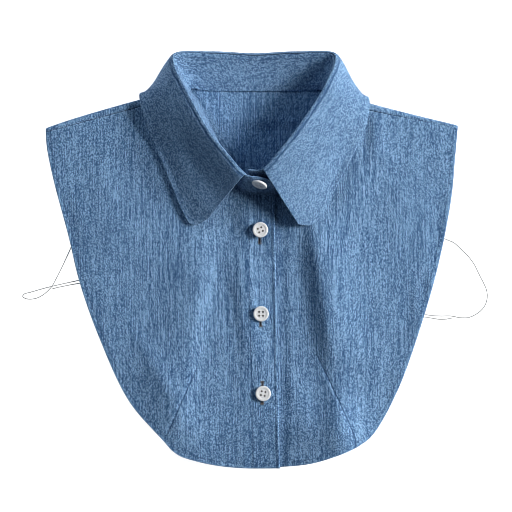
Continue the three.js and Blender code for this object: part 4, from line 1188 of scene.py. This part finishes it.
def band_stitch_lines(settings):
    """Both stitch lines of the stand, on its inner and its outer side"""
    tree = surface_tree(bpy.data.objects["stand_cloth"])
    middle, h, _ = stand_grid(settings)
    normal = grid_normals(middle)
    rows = []
    for level in (STAND["low_line"], STAND["top_line"]):
        k = int(np.argmin(np.abs(h - level / STAND["height"])))
        for side in (1, -1):
            points, normals = [], []
            for place, way in zip(middle[3:-3, k], normal[3:-3, k] * side):
                hit, face, _, _ = tree.ray_cast(Vector(place + way * 4) * MM, Vector(-way))
                if hit is not None:
                    points.append(tuple(hit / MM))
                    normals.append(tuple(face))
            rows.append((np.array(points), np.array(normals)))
    return rows


def make_stitches(context):
    """Stitch lines of the hems, the placket, the shoulder seams, the darts and the band"""
    settings = cloth_sizes(context)
    thread = materials(context)["sewing_thread"]
    back = surface_tree(bpy.data.objects["back_cloth"])
    shoulder_rows = [lay_on(back, inset(np.linspace(*seam, 120), aside))
                     for seam, aside in ((LEFT_SEAM, SHOULDER_STITCH), (RIGHT_SEAM, -SHOULDER_STITCH))]
    for name, rows, node_slot, seed in (("front_stitches", front_stitch_lines(), "chambray", 3),
                                        ("shoulder_stitches", shoulder_rows, "chambray", 4),
                                        ("band_stitches", band_stitch_lines(settings), "collar_chambray", 5)):
        stitch_rows(name, rows, thread, settings.stitch, settings.stitch_gap, seed=seed)


def make_buttonholes(context):
    """Buttonholes down the placket: two rows of twist, a near-black row of painted shade in the slit between
    them, and a bar at each end
    """
    library = materials(context)
    cloth = surface_tree(bpy.data.objects["front_left_cloth"])
    rows, bars, slit_shades = [], [], []
    row, bar, slit = BUTTONHOLE, BUTTONHOLE_BAR, BUTTONHOLE_SLIT_SHADE
    for x, low, high in BUTTONHOLES:
        y = np.linspace(low, high, 40)
        for aside, lines in ((-row["row"], rows), (row["row"], rows), (0, slit_shades)):
            lines.append(lay_on(cloth, np.stack([np.full_like(y, x + aside), y], 1)))
        across = np.linspace(x - bar["half"], x + bar["half"], 8)
        for end in (low - bar["past"], high + bar["past"]):
            bars.append(lay_on(cloth, np.stack([across, np.full_like(across, end)], 1)))
    twist = library["buttonhole_thread"]
    stitch_rows("buttonhole_stitches", rows, twist, row["twist"], row["gap"], lift=0.1, seed=7,
                crosswise=row["reach"])
    stitch_rows("buttonhole_bars", bars, twist, row["twist"], bar["gap"], lift=0.14, seed=8,
                crosswise=bar["reach"])
    # The slit is a near-black row of thread: painted shade in the buttonhole's slit
    stitch_rows("buttonhole_slits", slit_shades, library["dark_thread_painted_shade"], slit["stitch"],
                -slit["overlap"], width=slit["width"], lift=0.02, seed=9)


# Buttons

def button_profile():
    """Radius and height of the turned button's outline, from its back round the rim and down to its dish"""
    b = BUTTON
    quarter = np.linspace(0, math.pi / 2, 6)
    soft = b["rim_soft"]
    foot = [(b["radius"] - soft * (1 - math.sin(a)), soft * (1 - math.cos(a))) for a in quarter]
    top = [(b["radius"] - soft * (1 - math.cos(a)), b["rim"] - soft * (1 - math.sin(a))) for a in quarter]
    inner = b["radius"] - b["rim_width"]
    slope = [(inner + (b["dish_radius"] - inner) * t, b["rim"] + (b["dish"] - b["rim"]) * t * t * (3 - 2 * t))
             for t in np.linspace(0, 1, 7)]
    return [*foot, *top, *slope]


def turned(profile, back, dish, sides):
    """A closed turned mesh: its profile, with a middle point on its back and on its dish"""
    bm = bmesh.new()
    rings = [[bm.verts.new((r * MM * math.cos(a), r * MM * math.sin(a), z * MM))
              for a in (2 * math.pi * k / sides for k in range(sides))] for r, z in profile]
    ends = [bm.verts.new((0, 0, z * MM)) for z in (back, dish)]
    for k in range(sides):
        n = (k + 1) % sides
        bm.faces.new((ends[0], rings[0][n], rings[0][k]))
        for low, high in zip(rings[:-1], rings[1:]):
            bm.faces.new((low[k], low[n], high[n], high[k]))
        bm.faces.new((rings[-1][k], rings[-1][n], ends[1]))
    bmesh.ops.recalc_face_normals(bm, faces=bm.faces)
    return saved(bm, "button")


def saved(bm, name):
    """A mesh of the given name from one that was being edited"""
    mesh = bpy.data.meshes.new(name)
    bm.to_mesh(mesh)
    bm.free()
    return mesh


def hole_posts(name, radius, middle, depth, sides):
    """Four upright posts where a button's holes are"""
    bm = bmesh.new()
    for i in (-1, 1):
        for j in (-1, 1):
            place = Matrix.Translation((i * BUTTON["spacing"] * MM, j * BUTTON["spacing"] * MM, middle * MM))
            bmesh.ops.create_cone(bm, cap_ends=True, segments=sides, radius1=radius * MM, radius2=radius * MM,
                                  depth=depth * MM, matrix=place)
    return saved(bm, name)


def button_mesh():
    """A four-hole shirt button with a rounded rim and a shallow dish, its back at z = 0"""
    solid = turned(button_profile(), 0, BUTTON["dish"] + 0.05, BUTTON["sides"])
    body = bpy.data.objects.new("button_body", solid)
    posts = hole_posts("drill", BUTTON["hole"], DRILL["middle"], DRILL["depth"], DRILL["sides"])
    cutter = bpy.data.objects.new("drill", posts)
    for piece in (body, cutter):
        bpy.context.scene.collection.objects.link(piece)
    cut = body.modifiers.new("holes", "BOOLEAN")
    cut.operation, cut.object, cut.solver = "DIFFERENCE", cutter, "EXACT"
    bpy.context.view_layer.update()
    shaped = bpy.data.meshes.new_from_object(body.evaluated_get(bpy.context.evaluated_depsgraph_get()))
    for piece in (body, cutter):
        bpy.data.objects.remove(piece)
    for polygon in shaped.polygons:
        polygon.use_smooth = abs(polygon.normal.z) < 0.999 and polygon.area < 2e-6
    return shaped


def button_places():
    """Where each button sits: a matrix in metres, by the name of its solid"""
    places = {}
    for k, (x, y, turn) in enumerate(PLACKET_BUTTONS):
        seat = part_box(f"button_{k + 1}")[0].z
        places[f"button_{k + 1}"] = (Matrix.Translation((x * MM, y * MM, seat))
                                     @ Matrix.Rotation(math.radians(turn), 4, "Z"))
    station = NECK_BUTTON["station"] / (len(SECTIONS) - 1)
    low = curve_at(section_line("seam"), station)[0]
    high = curve_at(section_line("top"), station)[0]
    foot = low + (high - low) * NECK_BUTTON["height"]
    tilt = Matrix.Identity(4)
    for degrees, axis in zip(NECK_BUTTON["turns"], "XYZ"):
        tilt = tilt @ Matrix.Rotation(math.radians(degrees), 4, axis)
    facing = tilt.to_3x3() @ Vector((0, 0, 1))
    seat = Vector(foot) + facing * (COLLAR_CLOTH / 2 + NECK_BUTTON["stand"])
    places["neck_button"] = Matrix.Translation(seat * MM) @ tilt
    return places


def add_button_piece(context, name, mesh, place, material):
    """A piece of a button, moved to its place"""
    mesh.transform(place)
    mesh.materials.clear()
    mesh.materials.append(material)
    piece = bpy.data.objects.new(name, mesh)
    context.scene.collection.objects.link(piece)
    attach(piece, "root")
    return piece


def make_shank(name, place, material):
    """The thread under a button, wound round and round"""
    turns = np.linspace(0, 2 * math.pi * SHANK["turns"], SHANK["points"])
    radius = SHANK["radius"] + SHANK["uneven"] * np.sin(3 * turns)
    height = np.linspace(*SHANK["heights"], len(turns))
    coil = np.stack([radius * np.cos(turns), radius * np.sin(turns), height], 1)
    line = np.array([tuple(place @ Vector(p * MM)) for p in coil]) / MM
    outward = np.array([tuple(place.to_3x3() @ Vector((math.cos(a), math.sin(a), 0))) for a in turns])
    stitch_rows(name, [(line, outward)], material, SHANK["stitch"], -SHANK["overlap"],
                width=SHANK["width"], lift=0, seed=11)


def make_buttons(context):
    """The four buttons, each on a thread shank and with near-black thread in its holes that paints their
    shade
    """
    library = materials(context)
    mesh = button_mesh()
    for name, place in button_places().items():
        piece = add_button_piece(context, f"{name}_pearl", mesh.copy(), place, library["button_pearl"])
        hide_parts(name)
        make_shank(f"{name}_shank", place, library["sewing_thread"])
        # Near-black posts in the holes: thread darkened to paint the shade inside each hole
        posts = hole_posts(f"{name}_thread", BUTTON["hole"] * HOLE_SHADE_THREAD["share"], HOLE_SHADE_THREAD["top"] / 2,
                           HOLE_SHADE_THREAD["top"], HOLE_SHADE_THREAD["sides"])
        add_button_piece(context, f"{name}_thread", posts, place, library["dark_thread_painted_shade"])


# Cords

def make_cords(context):
    """The elastic loops at the sides and their turned-back ends"""
    material = materials(context)["elastic_cord"]
    for name, route in CORD_ROUTES.items():
        line = dense(route, 7)
        curve = bpy.data.curves.new(f"{name}_elastic", "CURVE")
        curve.dimensions = "3D"
        curve.bevel_depth = CORD_RADIUS * MM
        curve.bevel_resolution = 3
        curve.use_fill_caps = True
        spline = curve.splines.new("POLY")
        spline.points.add(len(line) - 1)
        for point, place in zip(spline.points, line):
            point.co = (*(place * MM), 1)
        spline.use_smooth = True
        curve.materials.append(material)
        piece = bpy.data.objects.new(f"{name}_elastic", curve)
        context.scene.collection.objects.link(piece)
        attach(piece, "root")
        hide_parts(name)


# Stage

def make_camera(context):
    """The camera, straight above the garment"""
    lens = bpy.data.cameras.new("camera")
    lens.lens, lens.sensor_width = CAMERA["lens"], CAMERA["sensor"]
    camera = bpy.data.objects.new("camera", lens)
    distance = CAMERA["width"] * MM * CAMERA["lens"] / CAMERA["sensor"]
    camera.location = (CAMERA["x"] * MM, CAMERA["y"] * MM, distance)
    lens.clip_start, lens.clip_end = 0.1, 20
    context.scene.collection.objects.link(camera)
    context.scene.camera = camera


def make_light(context, name, azimuth, elevation, distance, size, power, colour):
    """A square soft light that faces the garment"""
    lamp = bpy.data.lights.new(name, "AREA")
    lamp.shape, lamp.size, lamp.energy, lamp.color = "SQUARE", size, power, colour
    light = bpy.data.objects.new(name, lamp)
    a, e = math.radians(azimuth), math.radians(elevation)
    way = Vector((math.cos(a) * math.cos(e), math.sin(a) * math.cos(e), math.sin(e)))
    light.location = way * distance
    light.rotation_euler = way.to_track_quat("Z", "Y").to_euler()
    context.scene.collection.objects.link(light)


def make_table(context):
    """The plain pale floor that the garment lies on"""
    material, _, shader = shader_of("table_top")
    shader.inputs["Base Color"].default_value = (*context.scene.collar_colours.table, 1)
    shader.inputs["Roughness"].default_value = 0.9
    shader.inputs["Specular IOR Level"].default_value = 0.1
    shader.inputs["Emission Color"].default_value = (1, 1, 1, 1)
    shader.inputs["Emission Strength"].default_value = TABLE["glow"]
    mesh = bpy.data.meshes.new("table_top")
    size = TABLE["half_size"]
    corners = [(-size, -size, 0), (size, -size, 0), (size, size, 0), (-size, size, 0)]
    mesh.from_pydata(corners, [], [(0, 1, 2, 3)])
    mesh.materials.append(material)
    table = bpy.data.objects.new("table_top", mesh)
    table.location.z = -TABLE["below"]
    context.scene.collection.objects.link(table)


def make_stage(context):
    """Plain pale floor, soft key light from the right, even fill, and the camera"""
    make_table(context)
    for light in LIGHTS:
        make_light(context, *light)
    world = bpy.data.worlds.new("studio")
    world.use_nodes = True
    background = world.node_tree.nodes["Background"]
    background.inputs["Color"].default_value = SKY["colour"]
    background.inputs["Strength"].default_value = SKY["strength"]
    context.scene.world = world
    context.scene.view_settings.view_transform = "Standard"
    context.scene.cycles.filter_width = 0.8
    make_camera(context)


# Operators and panel

class COLLAR_OT_cords(bpy.types.Operator):
    """Make the elastic loops at the sides and their turned-back ends"""
    bl_idname = "collar.make_cords"
    bl_label = "Elastic cords"
    bl_options = {"REGISTER", "UNDO"}

    def execute(self, context):
        make_cords(context)
        return {"FINISHED"}


class COLLAR_OT_back(bpy.types.Operator):
    """Make the back panel with its shoulder strips"""
    bl_idname = "collar.make_back"
    bl_label = "Back panel"
    bl_options = {"REGISTER", "UNDO"}

    def execute(self, context):
        make_back(context)
        return {"FINISHED"}


class COLLAR_OT_fronts(bpy.types.Operator):
    """Make the two fronts with their hems, placket and darts"""
    bl_idname = "collar.make_fronts"
    bl_label = "Fronts"
    bl_options = {"REGISTER", "UNDO"}

    def execute(self, context):
        make_front(context, True)
        make_front(context, False)
        return {"FINISHED"}


class COLLAR_OT_stand(bpy.types.Operator):
    """Make the band round the neck"""
    bl_idname = "collar.make_stand"
    bl_label = "Collar stand"
    bl_options = {"REGISTER", "UNDO"}

    def execute(self, context):
        make_stand(context)
        return {"FINISHED"}


class COLLAR_OT_leaf(bpy.types.Operator):
    """Make the turned-down leaf"""
    bl_idname = "collar.make_leaf"
    bl_label = "Collar leaf"
    bl_options = {"REGISTER", "UNDO"}

    def execute(self, context):
        make_leaf(context)
        return {"FINISHED"}


class COLLAR_OT_buttons(bpy.types.Operator):
    """Make the four buttons on their thread shanks"""
    bl_idname = "collar.make_buttons"
    bl_label = "Buttons"
    bl_options = {"REGISTER", "UNDO"}

    def execute(self, context):
        make_buttons(context)
        return {"FINISHED"}


class COLLAR_OT_stitches(bpy.types.Operator):
    """Make the stitch lines and the buttonholes; the cloth has to be there"""
    bl_idname = "collar.make_stitches"
    bl_label = "Stitching"
    bl_options = {"REGISTER", "UNDO"}

    def execute(self, context):
        make_stitches(context)
        make_buttonholes(context)
        return {"FINISHED"}


class COLLAR_OT_stage(bpy.types.Operator):
    """Make the table, the lights and the camera"""
    bl_idname = "collar.make_stage"
    bl_label = "Table, lights and camera"
    bl_options = {"REGISTER", "UNDO"}

    def execute(self, context):
        make_stage(context)
        return {"FINISHED"}


class COLLAR_PT_panel(bpy.types.Panel):
    """Settings and buttons of the collar"""
    bl_label = "Collar"
    bl_idname = "COLLAR_PT_panel"
    bl_space_type = "VIEW_3D"
    bl_region_type = "UI"
    bl_category = "Collar"

    def draw(self, context):
        for settings in (context.scene.collar_cloth, context.scene.collar_colours):
            box = self.layout.box()
            for key in settings.bl_rna.properties.keys():
                if key not in ("rna_type", "name"):
                    box.prop(settings, key)
        for step in STEPS:
            self.layout.operator(step.bl_idname)


STEPS = (COLLAR_OT_stage, COLLAR_OT_cords, COLLAR_OT_back, COLLAR_OT_fronts, COLLAR_OT_stand, COLLAR_OT_leaf,
         COLLAR_OT_buttons, COLLAR_OT_stitches)
CLASSES = (ClothSettings, ColourSettings, *STEPS, COLLAR_PT_panel)


def register():
    """Make the settings, the steps and the panel known"""
    for item in CLASSES:
        bpy.utils.register_class(item)
    bpy.types.Scene.collar_cloth = PointerProperty(type=ClothSettings)
    bpy.types.Scene.collar_colours = PointerProperty(type=ColourSettings)


def unregister():
    """Take them away again"""
    del bpy.types.Scene.collar_colours
    del bpy.types.Scene.collar_cloth
    for item in reversed(CLASSES):
        bpy.utils.unregister_class(item)


def main():
    """Build the whole garment and its stage"""
    register()
    for step in STEPS:
        group, call = step.bl_idname.split(".")
        getattr(getattr(bpy.ops, group), call)()


if __name__ == "__main__":
    main()
